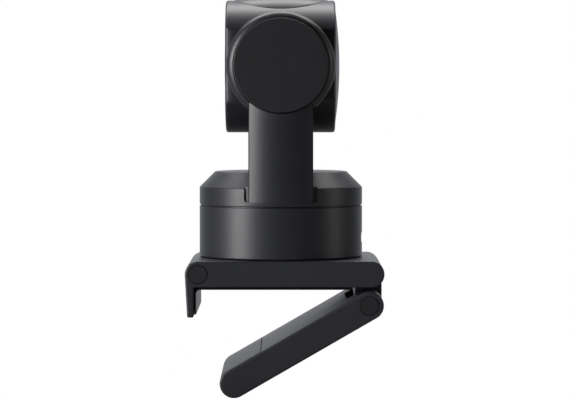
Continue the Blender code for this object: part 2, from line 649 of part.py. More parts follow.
def make_turntable():
    """The turntable with its single arm in one moulding, and what is fixed to it."""
    edge = 0.3 * MM
    wall = RING_WALL
    lip_clear = BASE_RADIUS - LABYRINTH + 0.4 * MM
    top_radius = BASE_RADIUS - RING_CHAMFER
    profile = [(0, RING_TOP), (top_radius, RING_TOP), (BASE_RADIUS, SHOULDER),
               (BASE_RADIUS, RING_BOTTOM + edge), (BASE_RADIUS - edge, RING_BOTTOM),
               (lip_clear, RING_BOTTOM), (lip_clear, FLOOR_BOTTOM),
               (BASE_RADIUS - wall, FLOOR_BOTTOM), (BASE_RADIUS - wall, SHOULDER - wall * 0.4),
               (top_radius - wall * 0.4, RING_TOP - wall), (0, RING_TOP - wall)]
    shell = turned("turntable_arm", profile, steps=FINE)

    notch_floor = RING_BOTTOM + ARM_NOTCH_FLOOR
    for side, sign in (("front", -1), ("rear", 1)):
        near, far = sorted((sign * ARM_WIDTH / 2, sign * (ARM_WIDTH / 2 + ARM_NOTCH)))
        cut(shell, block(f"arm_slit_{side}", (ARM_IN, near, notch_floor),
                         (BASE_RADIUS + MM, far, RING_TOP + MM), cutters))
    # the wall outside the arm's curved face is cleared, so that face shows down to its foot
    clearing = block("foot_clearing", (ARM_IN, -ARM_WIDTH / 2, notch_floor),
                     (BASE_RADIUS + MM, ARM_WIDTH / 2, RING_TOP + MM), cutters)
    cut(shell, clearing)

    arm_foot = FLOOR_BOTTOM
    arm = extruded("arm_core", arm_outline(), TILT_AXIS - arm_foot,
                   (0, 0, (TILT_AXIS + arm_foot) / 2), ROUND_Z, cutters)
    join(shell, arm, "UNION")
    rib = block("arm_rib", (ARM_IN - ARM_RIB, -ARM_WIDTH / 2 + edge, FLOOR_TOP + 2 * FIT),
                (ARM_IN + ARM_RIB, ARM_WIDTH / 2 - edge, RING_TOP - edge), cutters)
    join(shell, rib, "UNION")
    cut(shell, rod("floor_room", BASE_BORE - FIT, RING_BOTTOM - MM, FLOOR_TOP + FIT,
                   steps=FINE, collection=cutters))
    hub_side = HUB_FACE - HUB_CHAMFER
    hub = turned("hub_core", [(0, HUB_FACE), (HUB_RADIUS - HUB_CHAMFER, HUB_FACE),
                              (HUB_RADIUS, hub_side), (HUB_RADIUS, ARM_IN), (0, ARM_IN)],
                 (0, 0, TILT_AXIS), ROUND_X, FINE, cutters)
    join(shell, hub, "UNION")
    web = extruded("hub_web", web_outline(), hub_side - ARM_IN,
                   ((ARM_IN + hub_side) / 2, 0, TILT_AXIS), ROUND_X, cutters)
    join(shell, web, "UNION")
    cut(shell, rod("hub_bore", HUB_BORE, ARM_IN - MM, ARM_OUT + MM, (0, 0, TILT_AXIS), ROUND_X,
                   FINE, cutters))
    hollow_half = ARM_WIDTH / 2 - ARM_WALL
    cut(shell, block("arm_hollow", (ARM_IN - MM, -hollow_half, RING_TOP + 10 * MM),
                     (ARM_OUT - 2 * ARM_WALL, hollow_half, TILT_AXIS - HUB_RADIUS + 4 * MM),
                     cutters))
    boss_places = ring_places(3, SCREW_CIRCLE + 2 * MM, 120.0)
    for number, (x, y) in enumerate(boss_places, 1):
        boss = rod(f"boss_{number}", SCREW_HEAD, FLOOR_TOP + FIT, RING_TOP - wall / 2, (x, y, 0),
                   collection=cutters)
        join(shell, boss, "UNION")
        cut(shell, rod(f"boss_hole_{number}", SCREW_RADIUS + BORE_FIT, FLOOR_BOTTOM,
                       FLOOR_TOP + 4.4 * MM, (x, y, 0), collection=cutters))
    for number, y in enumerate((-COVER_SCREW_SIDE, COVER_SCREW_SIDE), 1):
        cut(shell, rod(f"cover_screw_bore_{number}", SCREW_RADIUS + BORE_FIT, ARM_IN - MM,
                       ARM_IN + 3.6 * MM, (0, y, RING_TOP + COVER_SCREW_RISE), ROUND_X, COARSE,
                       cutters))
    finish(shell, CHARCOAL, pan_axis)

    floor = ring("turntable_floor", BASE_BORE - 2 * FIT, PAN_SHAFT + BORE_FIT, FLOOR_BOTTOM,
                 FLOOR_TOP, steps=FINE)
    for number, (x, y) in enumerate(boss_places, 1):
        cut(floor, stepped_hole(f"floor_hole_{number}", SCREW_RADIUS + BORE_FIT,
                                SCREW_HEAD + BORE_FIT, -FLOOR_TOP - MM,
                                -FLOOR_BOTTOM - SCREW_HEAD_THICK - FIT, -FLOOR_BOTTOM + MM,
                                (x, y, 0), UPSIDE_DOWN))
        screw(f"floor_screw_{number}", (x, y, FLOOR_BOTTOM + SCREW_HEAD_THICK),
              UPSIDE_DOWN, 4.2 * MM, STEEL, pan_axis)
    finish(floor, CHARCOAL, pan_axis)

    shaft_bore = PAN_SHAFT - 1.8 * MM
    flange_bottom = FLOOR_TOP + FIT
    flange_top = flange_bottom + 1.8 * MM
    shaft = turned("pan_shaft", [(shaft_bore, flange_top), (PAN_FLANGE, flange_top),
                                 (PAN_FLANGE, flange_bottom), (PAN_SHAFT, flange_bottom),
                                 (PAN_SHAFT, MOTOR_BOTTOM), (shaft_bore, MOTOR_BOTTOM)])
    finish(shaft, STEEL, pan_axis)
    finish(ring("pan_rotor", PAN_ROTOR_OUT, PAN_SHAFT + BORE_FIT, MOTOR_BOTTOM + 2 * FIT,
                DECK_BOTTOM - 4 * FIT), STEEL, pan_axis)


def make_arm_fittings():
    """The arm's inner cover, the tilt motor's fixed half and the round cap over it."""
    centre = (0, 0, TILT_AXIS)
    cover_foot = RING_TOP + FIT
    half = ARM_WIDTH / 2
    meet = math.degrees(math.asin(half / HUB_RADIUS))
    outline = arc((0, 0), HUB_RADIUS, -90 + meet, 270 - meet, FINE)
    outline += [(-half, cover_foot - TILT_AXIS), (half, cover_foot - TILT_AXIS)]
    cover = extruded("arm_inner_cover", outline, ARM_COVER,
                     ((COVER_IN + COVER_OUT) / 2, 0, TILT_AXIS), ROUND_X)
    cut(cover, rod("bearing_seat", TILT_BEARING_OUT + FIT, COVER_IN - MM, COVER_OUT + MM, centre,
                   ROUND_X, MEDIUM, cutters))
    screw_z = RING_TOP + COVER_SCREW_RISE
    for number, y in enumerate((-COVER_SCREW_SIDE, COVER_SCREW_SIDE), 1):
        cut(cover, rod(f"cover_screw_hole_{number}", SCREW_RADIUS + BORE_FIT, COVER_IN - MM,
                       COVER_OUT + MM, (0, y, screw_z), ROUND_X, COARSE, cutters))
        screw(f"cover_screw_{number}", (COVER_IN - FIT, y, screw_z), TOWARDS_ARM, 4.4 * MM,
              STEEL, pan_axis)
    finish(cover, CHARCOAL, pan_axis)

    finish(ring("tilt_bearing", TILT_BEARING_OUT, TILT_SHAFT + BORE_FIT, COVER_IN, COVER_OUT, centre,
                ROUND_X), STEEL, pan_axis)
    cap_under = ARM_OUT - HUB_CAP_SKIN
    cap_in = ARM_OUT - HUB_CAP_DEPTH
    skirt = HUB_CAP - HUB_CAP_SKIN
    finish(ring("tilt_stator", skirt - FIT, TILT_ROTOR_OUT + FIT, ARM_IN, cap_under - FIT,
                centre, ROUND_X), COPPER, pan_axis)
    edge = HUB_CAP_EDGE
    cap = turned("tilt_motor_cap", [(0, ARM_OUT + HUB_CAP_CROWN), (HUB_CAP - edge, ARM_OUT),
                                    (HUB_CAP, ARM_OUT - edge), (HUB_CAP, cap_in),
                                    (skirt, cap_in), (skirt, cap_under), (0, cap_under)],
                 centre, ROUND_X, FINE)
    finish(cap, DARK_CAP, pan_axis)


# ---- head ---------------------------------------------------------------------------
def head_outline(radius, flat):
    """The head's outline from the front, as (x, z): a circle with one flat at +x."""
    meet = math.degrees(math.acos(flat / radius))
    return arc((0, 0), radius, meet, 360 - meet, FINE)


def oval_post(name, grow, floor_radius):
    """An upright oval helper over the head, ending at a radius from the head's middle."""
    spin = 2 * math.pi * CUTTER_SPIN / 40
    outline = [((TOP_CAP_OVAL[0] + grow) * math.cos(spin + 2 * math.pi * i / 40),
                (TOP_CAP_OVAL[1] + grow) * math.sin(spin + 2 * math.pi * i / 40))
               for i in range(40)]
    height = TOP_CAP_HALF[2]
    post = extruded(name, outline, height, (0, 0, TILT_AXIS + HEAD_RADIUS), ROUND_Z, cutters)
    return cut(post, rod(name + "_under", floor_radius, -HEAD_RADIUS * 2, HEAD_RADIUS * 2,
                         (0, 0, TILT_AXIS), ROUND_FRONT, FINE, cutters))


def make_top_cap():
    """The shallow oval cap on top of the head, inlaid in its shell."""
    bpy.ops.mesh.primitive_uv_sphere_add(segments=FINE, ring_count=28, radius=1.0)
    body = bpy.context.object
    body.name = "top_cap"
    for vert in body.data.vertices:
        vert.co = Vector([vert.co[i] * TOP_CAP_HALF[i] for i in range(3)])
    middle = TILT_AXIS + HEAD_RADIUS + TOP_CAP_RISE - TOP_CAP_HALF[2]
    place(body, (0, 0, middle), ROUND_Z, parts)
    return join(body, oval_post("cap_outline", 0.0, HEAD_RADIUS - TOP_CAP_SINK), "INTERSECT")


def make_head():
    """The tilting head: its shell, covers, glass and top cap."""
    middle = (0, (HEAD_REAR - HEAD_FRONT) / 2, TILT_AXIS)
    shell = extruded("head_shell", head_outline(HEAD_RADIUS, HEAD_FLAT),
                     HEAD_FRONT + HEAD_REAR, middle, ROUND_FRONT)
    bevel(shell, HEAD_EDGE, 3)
    cavity_length = HEAD_CAVITY_FRONT + HEAD_REAR + MM
    cavity = extruded("head_cavity",
                      head_outline(HEAD_RADIUS - HEAD_WALL, HEAD_FLAT - HEAD_WALL),
                      cavity_length, (0, cavity_length / 2 - HEAD_CAVITY_FRONT, TILT_AXIS),
                      ROUND_FRONT, cutters)
    centre = (0, 0, TILT_AXIS)
    glass_back = HEAD_FRONT - GLASS_THICK - FIT
    cut(shell, cavity,
        stepped_hole("glass_seat", LENS_RING + FIT, GLASS_RADIUS + FIT,
                     HEAD_CAVITY_FRONT - MM, glass_back, HEAD_FRONT + MM, centre,
                     ROUND_FRONT, FINE),
        rod("shaft_hole", TILT_SHAFT + BORE_FIT, HEAD_FLAT - 2 * HEAD_WALL, HEAD_FLAT + MM,
            centre, ROUND_X, COARSE, cutters),
        rod("light_hole", LIGHT_RADIUS + BORE_FIT, HEAD_CAVITY_FRONT - MM, HEAD_FRONT + MM,
            (0, 0, TILT_AXIS - LIGHT_DROP), ROUND_FRONT, COARSE, cutters),
        oval_post("cap_seat", FIT, HEAD_RADIUS - TOP_CAP_SINK - FIT))
    finish(shell, CHARCOAL, tilt_axis)
    finish(make_top_cap(), CHARCOAL, tilt_axis)

    cover_radius = HEAD_RADIUS - HEAD_WALL - FIT
    rim = HEAD_REAR - 0.1 * MM
    sphere = (cover_radius ** 2 + REAR_DOME ** 2) / (2 * REAR_DOME)
    dome = [(sphere * math.sin(a), rim + REAR_DOME - sphere + sphere * math.cos(a))
            for a in [math.asin(cover_radius / sphere) * i / 5 for i in range(6)]]
    cover = turned("rear_cover", [(0.0, dome[0][1])] + dome[1:] +
                   [(cover_radius, rim - REAR_COVER_THICK), (0, rim - REAR_COVER_THICK)],
                   centre, ROUND_REAR, FINE)
    cut(cover, block("cover_flat", (HEAD_FLAT - HEAD_WALL - FIT, 0, TILT_AXIS - HEAD_RADIUS),
                     (HEAD_FLAT * 2, HEAD_REAR * 2, TILT_AXIS + HEAD_RADIUS), cutters))
    finish(cover, CHARCOAL, tilt_axis)

    glass = turned("front_glass", [(LENS_RING + FIT, HEAD_FRONT - 0.05 * MM),
                                   (GLASS_RADIUS - 0.2 * MM, HEAD_FRONT - 0.05 * MM),
                                   (GLASS_RADIUS, HEAD_FRONT - 0.25 * MM),
                                   (GLASS_RADIUS, HEAD_FRONT - GLASS_THICK),
                                   (LENS_RING + FIT, HEAD_FRONT - GLASS_THICK)],
                   centre, ROUND_FRONT, FINE)
    light_place = (0, 0, TILT_AXIS - LIGHT_DROP)
    cut(glass, rod("glass_light_hole", LIGHT_RADIUS + BORE_FIT, HEAD_CAVITY_FRONT,
                   HEAD_FRONT + MM, light_place, ROUND_FRONT, COARSE, cutters))
    finish(glass, GLASS, tilt_axis)
    finish(rod("indicator_light", LIGHT_RADIUS, HEAD_CAVITY_FRONT - 0.5 * MM,
               HEAD_FRONT - 0.1 * MM, light_place, ROUND_FRONT), LIGHT, tilt_axis)


def make_optics():
    """The lens, its ring and holder, the sensor and the boards behind it."""
    centre = (0, 0, TILT_AXIS)
    throat = LENS_BARREL - LENS_WALL
    face = HEAD_FRONT + 0.3 * MM
    back = HEAD_FRONT - 3.6 * MM
    trim = turned("lens_ring", [(LENS_RING - 0.7 * MM, face), (LENS_RING - 0.2 * MM, face),
                                (LENS_RING, face - 0.2 * MM), (LENS_RING, back), (throat, back),
                                (throat, back + 1.2 * MM)], centre, ROUND_FRONT, FINE)
    finish(trim, CHARCOAL, tilt_axis)
    barrel_front = back - FIT
    barrel_back = barrel_front - 11.0 * MM
    finish(ring("lens_barrel", LENS_BARREL, throat, barrel_back, barrel_front, centre,
                ROUND_FRONT), CHIP, tilt_axis)
    element = throat - BORE_FIT
    bulge = 1.6 * MM
    sphere = (element ** 2 + bulge ** 2) / (2 * bulge)
    for name, front, scale in (("lens_front", back + 1.4 * MM, 1.0),
                               ("lens_rear", barrel_back + 3.2 * MM, 0.6)):
        reach = math.asin(element / sphere)
        dome = [(sphere * math.sin(reach * i / 4),
                 front - bulge * scale + bulge * scale * (sphere * math.cos(reach * i / 4)
                 - sphere + bulge) / bulge) for i in range(5)]
        rear = front - bulge * scale - 1.6 * MM
        lens = turned(name, [(0.0, dome[0][1])] + dome[1:] + [(element, rear), (0, rear)],
                      centre, ROUND_FRONT)
        finish(lens, CLEAR, tilt_axis)

    side = HOLDER_HALF
    holder_front = barrel_back + 5.0 * MM
    holder_back = barrel_back - 1.8 * MM
    holder = block("lens_holder", (-side, -holder_front, TILT_AXIS - side),
                   (side, -holder_back, TILT_AXIS + side))
    cut(holder, rod("holder_bore", LENS_BARREL + BORE_FIT, holder_back - MM, holder_front + MM,
                    centre, ROUND_FRONT, MEDIUM, cutters))
    finish(holder, CHIP, tilt_axis)
    sensor_top = barrel_back - 0.5 * MM
    sensor_back = sensor_top - 1.2 * MM
    finish(block("image_sensor", (-5.5 * MM, -sensor_top, TILT_AXIS - 4.5 * MM),
                 (5.5 * MM, -sensor_back, TILT_AXIS + 4.5 * MM)), CHIP, tilt_axis)
    board_front = min(holder_back, sensor_back) - FIT
    board_back = board_front - BOARD_THICK
    half = HEAD_FLAT - BOARD_MARGIN
    board = block("sensor_board", (-half, -board_front, TILT_AXIS - half),
                  (half, -board_back, TILT_AXIS + half))
    finish(board, BOARD, tilt_axis)
    sink_front = board_back - FIT
    sink_back = sink_front - 7.0 * MM
    sink = block("heat_sink", (-side, -sink_front, TILT_AXIS - side),
                 (side, -sink_back, TILT_AXIS + side))
    fins = 5
    pitch = 2 * side / (2 * fins + 1)
    for number in range(fins):
        low = -side + pitch * (2 * number + 1)
        cut(sink, block(f"fin_gap_{number + 1}", (low, -sink_back - 5.0 * MM, TILT_AXIS - 2 * side),
                        (low + pitch, -sink_back + MM, TILT_AXIS + 2 * side), cutters))
    finish(sink, ALUMINIUM, tilt_axis)
    logic_front = sink_back - FIT
    finish(block("logic_board", (-half, -logic_front, TILT_AXIS - half),
                 (half, -logic_front + BOARD_THICK, TILT_AXIS + half)), BOARD, tilt_axis)
    board_top = TILT_AXIS + HEAD_RADIUS - HEAD_WALL - TOP_CAP_SINK - BOARD_THICK
    finish(block("microphone_board", (-4 * MM, -10 * MM, board_top - BOARD_THICK),
                 (4 * MM, 10 * MM, board_top)), BOARD, tilt_axis)

    inside = HEAD_FLAT - HEAD_WALL - FIT
    shaft_end = ARM_OUT - HUB_CAP_SKIN - 2 * FIT
    finish(turned("tilt_shaft", [(0, shaft_end), (TILT_SHAFT, shaft_end), (TILT_SHAFT, inside),
                                 (TILT_FLANGE, inside), (TILT_FLANGE, inside - 2 * MM),
                                 (0, inside - 2 * MM)], centre, ROUND_X), STEEL, tilt_axis)
    finish(ring("tilt_rotor", TILT_ROTOR_OUT, TILT_SHAFT + BORE_FIT, ARM_IN + FIT, shaft_end, centre,
                ROUND_X), STEEL, tilt_axis)


make_clip()
make_knuckle()
make_leg()
make_base()
make_turntable()
make_arm_fittings()
make_head()
make_optics()
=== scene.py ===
# %% [markdown]
# # Pan-tilt webcam on a folding clip
# This webcam is a round head on a single arm. The arm stands on a turntable, the turntable on a
# fixed base, and the base on a clip that hooks over a screen's top edge and can take a tripod.
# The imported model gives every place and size. This script dresses it: it makes fine meshes for
# what shows, finishes for everything, soft studio light and the camera.

# %% Load the frame
import json
import math

import bmesh
import bpy
import numpy as np
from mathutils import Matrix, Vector


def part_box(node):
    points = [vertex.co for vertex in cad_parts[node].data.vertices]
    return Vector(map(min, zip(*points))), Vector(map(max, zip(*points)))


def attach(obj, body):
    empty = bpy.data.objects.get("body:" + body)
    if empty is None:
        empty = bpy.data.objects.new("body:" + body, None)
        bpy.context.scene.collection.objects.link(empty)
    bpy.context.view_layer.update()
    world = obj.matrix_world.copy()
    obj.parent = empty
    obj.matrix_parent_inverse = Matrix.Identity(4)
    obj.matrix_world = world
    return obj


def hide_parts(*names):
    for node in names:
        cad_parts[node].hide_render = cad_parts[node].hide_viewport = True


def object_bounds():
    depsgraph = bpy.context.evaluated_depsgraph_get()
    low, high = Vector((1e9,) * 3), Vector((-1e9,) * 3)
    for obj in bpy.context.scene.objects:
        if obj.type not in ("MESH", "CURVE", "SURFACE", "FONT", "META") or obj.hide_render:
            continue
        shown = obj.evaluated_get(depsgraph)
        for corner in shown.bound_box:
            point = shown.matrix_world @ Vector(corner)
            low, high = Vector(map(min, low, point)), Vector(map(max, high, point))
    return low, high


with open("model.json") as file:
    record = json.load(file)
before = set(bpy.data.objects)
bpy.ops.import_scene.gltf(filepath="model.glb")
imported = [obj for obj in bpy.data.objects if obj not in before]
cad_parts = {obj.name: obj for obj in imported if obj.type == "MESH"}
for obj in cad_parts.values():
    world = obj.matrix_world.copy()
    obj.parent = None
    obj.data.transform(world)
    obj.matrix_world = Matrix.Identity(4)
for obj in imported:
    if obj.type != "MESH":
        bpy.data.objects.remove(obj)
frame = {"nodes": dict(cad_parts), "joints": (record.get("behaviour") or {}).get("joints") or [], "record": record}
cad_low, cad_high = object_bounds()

MM = 0.001
X, Y, Z = np.eye(3)
nodes = frame["nodes"]
print(len(nodes), "nodes; the frame is", [round(side / MM, 1) for side in cad_high - cad_low], "mm")

# %% [markdown]
# ## Sizes
# A fine mesh has to sit exactly where its working solid sits, so its sizes are read from the
# frame. Only what a box can't say, such as a rounding or a step, has its own value here.

# %% Places and sizes from the frame
def low(node):
    """The lowest corner of a node's box."""
    return np.array(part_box(node)[0])


def high(node):
    """The highest corner of a node's box."""
    return np.array(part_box(node)[1])


joints = {joint["name"]: np.array(joint["pos_m"]) for joint in frame["joints"]}
TILT, HINGE = joints["tilt"], joints["leg_fold"]
GAP = 0.3 * MM                                   # what two fixed pieces keep between them

CLIP_HALF = high("clip_plate")[0]
PLATE_LOW, PLATE_HIGH = low("tripod_insert")[2], high("clip_plate")[2]
PLATE_MID = (PLATE_LOW + PLATE_HIGH) / 2
PLATE_ROUND = (PLATE_HIGH - PLATE_LOW) / 2       # the plate's ends are half rounds
CLIP_FRONT, CLIP_REAR = low("clip_plate")[1], high("clip_plate")[1]
LEG_ROUND = high("rear_leg")[1] - HINGE[1]
LEG_TIP = np.array((0.0, low("rear_leg")[1] + LEG_ROUND, low("rear_leg")[2] + LEG_ROUND))
BASE_RADIUS = high("base_housing")[0]
RING_LOW, HUB_TOP = low("turntable_arm")[2], high("turntable_arm")[2]
RING_HIGH = low("arm_inner_cover")[2] - GAP
COVER_IN, COVER_OUT = low("arm_inner_cover")[0], high("arm_inner_cover")[0]
ARM_IN = COVER_OUT + GAP
ARM_HALF = 11.3 * MM                             # half the arm's width
HUB_RADIUS = HUB_TOP - TILT[2]
HEAD_RADIUS = high("head_shell")[2] - TILT[2]
HEAD_FLAT = high("head_shell")[0]
HEAD_FRONT, HEAD_REAR = low("head_shell")[1], high("head_shell")[1]
print("tilt axis", round(TILT[2] / MM, 2), "mm up; head", round(2 * HEAD_RADIUS / MM, 1),
      "mm across")

# %% [markdown]
# ## Camera
# A product shot like this is taken from about a metre away with a long lens, square to the
# arm's side, so that the object stays nearly free of perspective. The camera stands a little
# above the middle of the object and looks very slightly down.

# %% Make the camera
CAMERA_PLACE = Vector((950.0, 1.475, 65.8)) * MM
CAMERA_PITCH = math.radians(2.15)

lens = bpy.data.cameras.new("product_camera")
lens.lens = 168.0
lens.sensor_width = 36.0
lens.clip_start, lens.clip_end = 0.05, 20.0
camera = bpy.data.objects.new("product_camera", lens)
camera.location = CAMERA_PLACE
sight = Vector((-math.cos(CAMERA_PITCH), 0.0, -math.sin(CAMERA_PITCH)))
camera.rotation_mode = "QUATERNION"
camera.rotation_quaternion = sight.to_track_quat("-Z", "Y")
bpy.context.scene.collection.objects.link(camera)
bpy.context.scene.camera = camera
print("camera", round(CAMERA_PLACE.length / MM), "mm from the origin")

# %% [markdown]
# ## Building with grids
# Nearly every piece of a moulded product is either turned (a profile carried round an axis) or
# a slab (an outline carried through its thickness, with its edges rounded). Both are grids of
# points, so two functions make them all, as whole numpy arrays. Doing it this way gives true
# fillets with even quads, where a Bevel modifier on a Boolean result would leave slivers.

# %% Outlines and profiles
def unit(vector):
    """The vector divided by its length."""
    return vector / np.linalg.norm(vector, axis=-1, keepdims=True)


def arc(centre, radius, start, end, count=16):
    """centre + radius (cos a, sin a), for even steps of a from start to end in degrees."""
    a = np.radians(np.linspace(start, end, count + 1))
    return np.array(centre) + radius * np.column_stack((np.cos(a), np.sin(a)))


def rounded(corners, radii, turns=6, closed=True):
    """Each corner becomes an arc that touches both of its sides.

    With h half the corner's angle, the arc starts radius / tan h from the corner and its
    centre is radius / sin h away. The points between are a slerp from its start to its end.
    """
    points = np.array(corners, float)
    sizes = np.broadcast_to(radii, len(points))
    path = []
    for i, (corner, radius) in enumerate(zip(points, sizes)):
        if radius <= 0 or (not closed and i in (0, len(points) - 1)):
            path.append(corner[None])
            continue
        back = unit(points[i - 1] - corner)
        ahead = unit(points[(i + 1) % len(points)] - corner)
        half = np.arccos(np.clip(back @ ahead, -1, 1)) / 2
        centre = corner + unit(back + ahead) * radius / np.sin(half)
        start, end = (corner + way * radius / np.tan(half) - centre for way in (back, ahead))
        t = np.linspace(0, 1, turns + 1)[:, None]
        sweep = np.pi - 2 * half
        path.append(centre + (np.sin((1 - t) * sweep) * start + np.sin(t * sweep) * end)
                    / np.sin(sweep))
    return np.vstack(path)


def inset(outline, distance):
    """Each point moves along the bisector of its two sides' normals, by distance / cos(half
    the turn), so that every side moves in by the distance. The outline runs anticlockwise."""
    before = unit(outline - np.roll(outline, 1, 0))
    after = unit(np.roll(outline, -1, 0) - outline)
    normal = np.column_stack((-before[:, 1], before[:, 0]))
    bisector = unit(normal + np.column_stack((-after[:, 1], after[:, 0])))
    return outline + bisector * distance / np.sum(bisector * normal, 1, keepdims=True)


def edge_stations(start, end, radius, turns=4, support=0.1 * MM, between=0):
    """(inset, depth) pairs for a slab from start to end whose two edges are quarter rounds.

    Across a round, inset = r (1 - sin t) and depth = r (1 - cos t). A support loop just
    inside each flat end keeps the flat's shading flat. More loops can go between the rounds,
    for a slab whose outline changes along its depth.
    """
    t = np.linspace(0, np.pi / 2, turns + 1)
    ins, deep = radius * (1 - np.sin(t)), radius * (1 - np.cos(t))
    first = np.column_stack((ins, start + deep))
    last = np.column_stack((ins, end - deep))[::-1]
    middle = np.column_stack((np.zeros(between), np.linspace(start + radius, end - radius,
                                                             between + 2)[1:-1]))
    return np.vstack(([(radius + support, start)], first, middle, last,
                      [(radius + support, end)]))


print("a 1 mm corner takes", len(rounded([(0, 0), (1, 0), (1, 1)], (0, 0.2, 0))), "points")

# %% [markdown]
# Each mesh is closed by construction. A turned profile that touches its axis leaves a row of
# points in one place; merging doubles turns it into a single pole.

# %% Meshes from grids
def mesh_piece(name, points, faces):
    """An object with its place in its mesh, its doubles merged and its faces outwards."""
    data = bpy.data.meshes.new(name)
    data.from_pydata(points.reshape(-1, 3).tolist(), [], faces)
    work = bmesh.new()
    work.from_mesh(data)
    bmesh.ops.remove_doubles(work, verts=work.verts, dist=1e-7)
    bmesh.ops.recalc_face_normals(work, faces=work.faces)
    work.to_mesh(data)
    work.free()
    made = bpy.data.objects.new(name, data)
    bpy.context.scene.collection.objects.link(made)
    return made


def grid_faces(rows, columns, wrap_rows=False):
    """Quads between neighbours of a rows x columns grid, whose columns close on themselves."""
    index = np.arange(rows * columns).reshape(rows, columns)
    index = np.column_stack((index, index[:, :1]))
    if wrap_rows:
        index = np.vstack((index, index[:1]))
    corners = (index[:-1, :-1], index[:-1, 1:], index[1:, 1:], index[1:, :-1])
    return np.stack(corners, -1).reshape(-1, 4).tolist()


def turned(name, profile, centre=(0, 0, 0), axis=Z, sides=160, ring=False):
    """(radius r, height h) at angle a goes to centre + r (cos a u + sin a v) + h axis."""
    u = np.roll(np.abs(axis), 1)
    v = np.cross(axis, u)
    a = np.linspace(0, 2 * np.pi, sides, endpoint=False)
    round_way = np.cos(a)[:, None] * u + np.sin(a)[:, None] * v
    profile = np.array(profile)
    points = (np.array(centre) + profile[:, 0, None, None] * round_way
              + profile[:, 1, None, None] * axis)
    return mesh_piece(name, points, grid_faces(len(profile), sides, ring))


def lofted(name, loops):
    """A skin over closed loops of points, one after another, with a flat face on each end."""
    rows, columns = loops.shape[:2]
    ends = [list(range(columns)), list(range((rows - 1) * columns, rows * columns))]
    return mesh_piece(name, loops, grid_faces(rows, columns) + ends)


def slab(name, outline, stations, centre=(0, 0, 0), u=Y, v=Z):
    """Outline point (p, q), drawn in by a station's inset, goes to centre + p u + q v + d w,
    where w = u x v and d is the station's depth."""
    w = np.cross(u, v)
    loops = np.stack([inset(outline, i)[:, :1] * u + inset(outline, i)[:, 1:] * v + d * w
                      for i, d in stations])
    return lofted(name, loops + np.array(centre))


def cutter(outline, start, end, centre=(0, 0, 0), u=Y, v=Z):
    """A plain slab to cut or join with."""
    return slab("cutter", np.array(outline), [(0, start), (0, end)], centre, u, v)


def rod(radius, start, end, centre, axis=X, sides=96):
    """A plain round bar to cut with, or to join on."""
    profile = [(0, end), (radius, end), (radius, start), (0, start)]
    return turned("rod", profile, centre, axis, sides)


def rectangle(low_p, low_q, high_p, high_q):
    """The four corners of a box's outline, anticlockwise."""
    return np.array([(low_p, low_q), (high_p, low_q), (high_p, high_q), (low_p, high_q)])


def combine(body, tool, operation="DIFFERENCE"):
    """Cut the body with the tool or join it on, keep the result and drop the tool."""
    change = body.modifiers.new("combine", "BOOLEAN")
    change.operation = operation
    change.solver = "EXACT"
    change.object = tool
    graph = bpy.context.evaluated_depsgraph_get()
    data = bpy.data.meshes.new_from_object(body.evaluated_get(graph))
    body.modifiers.clear()
    body.data = data
    bpy.data.objects.remove(tool, do_unlink=True)
    return body


print("a plain ring has", len(grid_faces(4, 96, True)), "faces")

# %% [markdown]
# ## Finishes
# Each finish starts from what the real material is and how its surface was made. Moulded
# plastic takes the fine pattern that was spark-eroded into its steel mould, so its gloss is
# broken up by grains of about a third of a millimetre. Patterns read Object coordinates,
# which are metres here, so a pattern's scale is one over the size of its grain.

# %% Colours and nodes
def linear(code, alpha=1.0):
    """An sRGB hex colour as linear values: c / 12.92 below 0.04045, else
    ((c + 0.055) / 1.055) ** 2.4."""
    c = np.array([int(code[i:i + 2], 16) for i in (1, 3, 5)]) / 255
    return (*np.where(c <= 0.04045, c / 12.92, ((c + 0.055) / 1.055) ** 2.4), alpha)


def add(tree, kind, inputs=None, **settings):
    """Add one node. Settings are its properties; inputs are values, or outputs to link."""
    made = tree.nodes.new(kind)
    for name, value in settings.items():
        setattr(made, name, value)
    for name, value in (inputs or {}).items():
        if isinstance(value, bpy.types.NodeSocket):
            tree.links.new(value, made.inputs[name])
        else:
            made.inputs[name].default_value = value
    return made


def finish(name, roughness, metallic=0.0, **sockets):
    """A material with one Principled shader; returns it, its tree and its shader."""
    made = bpy.data.materials.new(name)
    made.use_nodes = True
    shader = made.node_tree.nodes["Principled BSDF"]
    shader.inputs["Roughness"].default_value = roughness
    shader.inputs["Metallic"].default_value = metallic
    for socket, value in sockets.items():
        shader.inputs[socket.replace("_", " ")].default_value = value
    return made, made.node_tree, shader


def mottled(tree, shader, light, dark, grain, blend=0.5):
    """Base colour between two tones, by noise of the given grain size."""
    place = add(tree, "ShaderNodeTexCoord").outputs["Object"]
    noise = add(tree, "ShaderNodeTexNoise", {"Vector": place, "Scale": 1 / grain,
                                             "Detail": 4.0, "Roughness": blend})
    ramp = add(tree, "ShaderNodeValToRGB", {"Fac": noise.outputs["Fac"]})
    for stop, where, tone in zip(ramp.color_ramp.elements, (0.3, 0.7), (dark, light)):
        stop.position, stop.color = where, linear(tone)
    tree.links.new(ramp.outputs["Color"], shader.inputs["Base Color"])
    return place


def grained(tree, shader, place, grain, depth, low_gloss, high_gloss, strength=0.6):
    """Bump from noise of a grain size and depth, and a roughness that wanders with it."""
    noise = add(tree, "ShaderNodeTexNoise", {"Vector": place, "Scale": 1 / grain,
                                             "Detail": 3.0, "Roughness": 0.55})
    bump = add(tree, "ShaderNodeBump", {"Height": noise.outputs["Fac"], "Distance": depth,
                                        "Strength": strength})
    tree.links.new(bump.outputs["Normal"], shader.inputs["Normal"])
    spread = add(tree, "ShaderNodeMapRange", {"Value": noise.outputs["Fac"], "From Min": 0.3,
                                              "From Max": 0.7, "To Min": low_gloss,
                                              "To Max": high_gloss})
    tree.links.new(spread.outputs["Result"], shader.inputs["Roughness"])


print("charcoal is", [round(c, 3) for c in linear("#3a3b3f")[:3]])

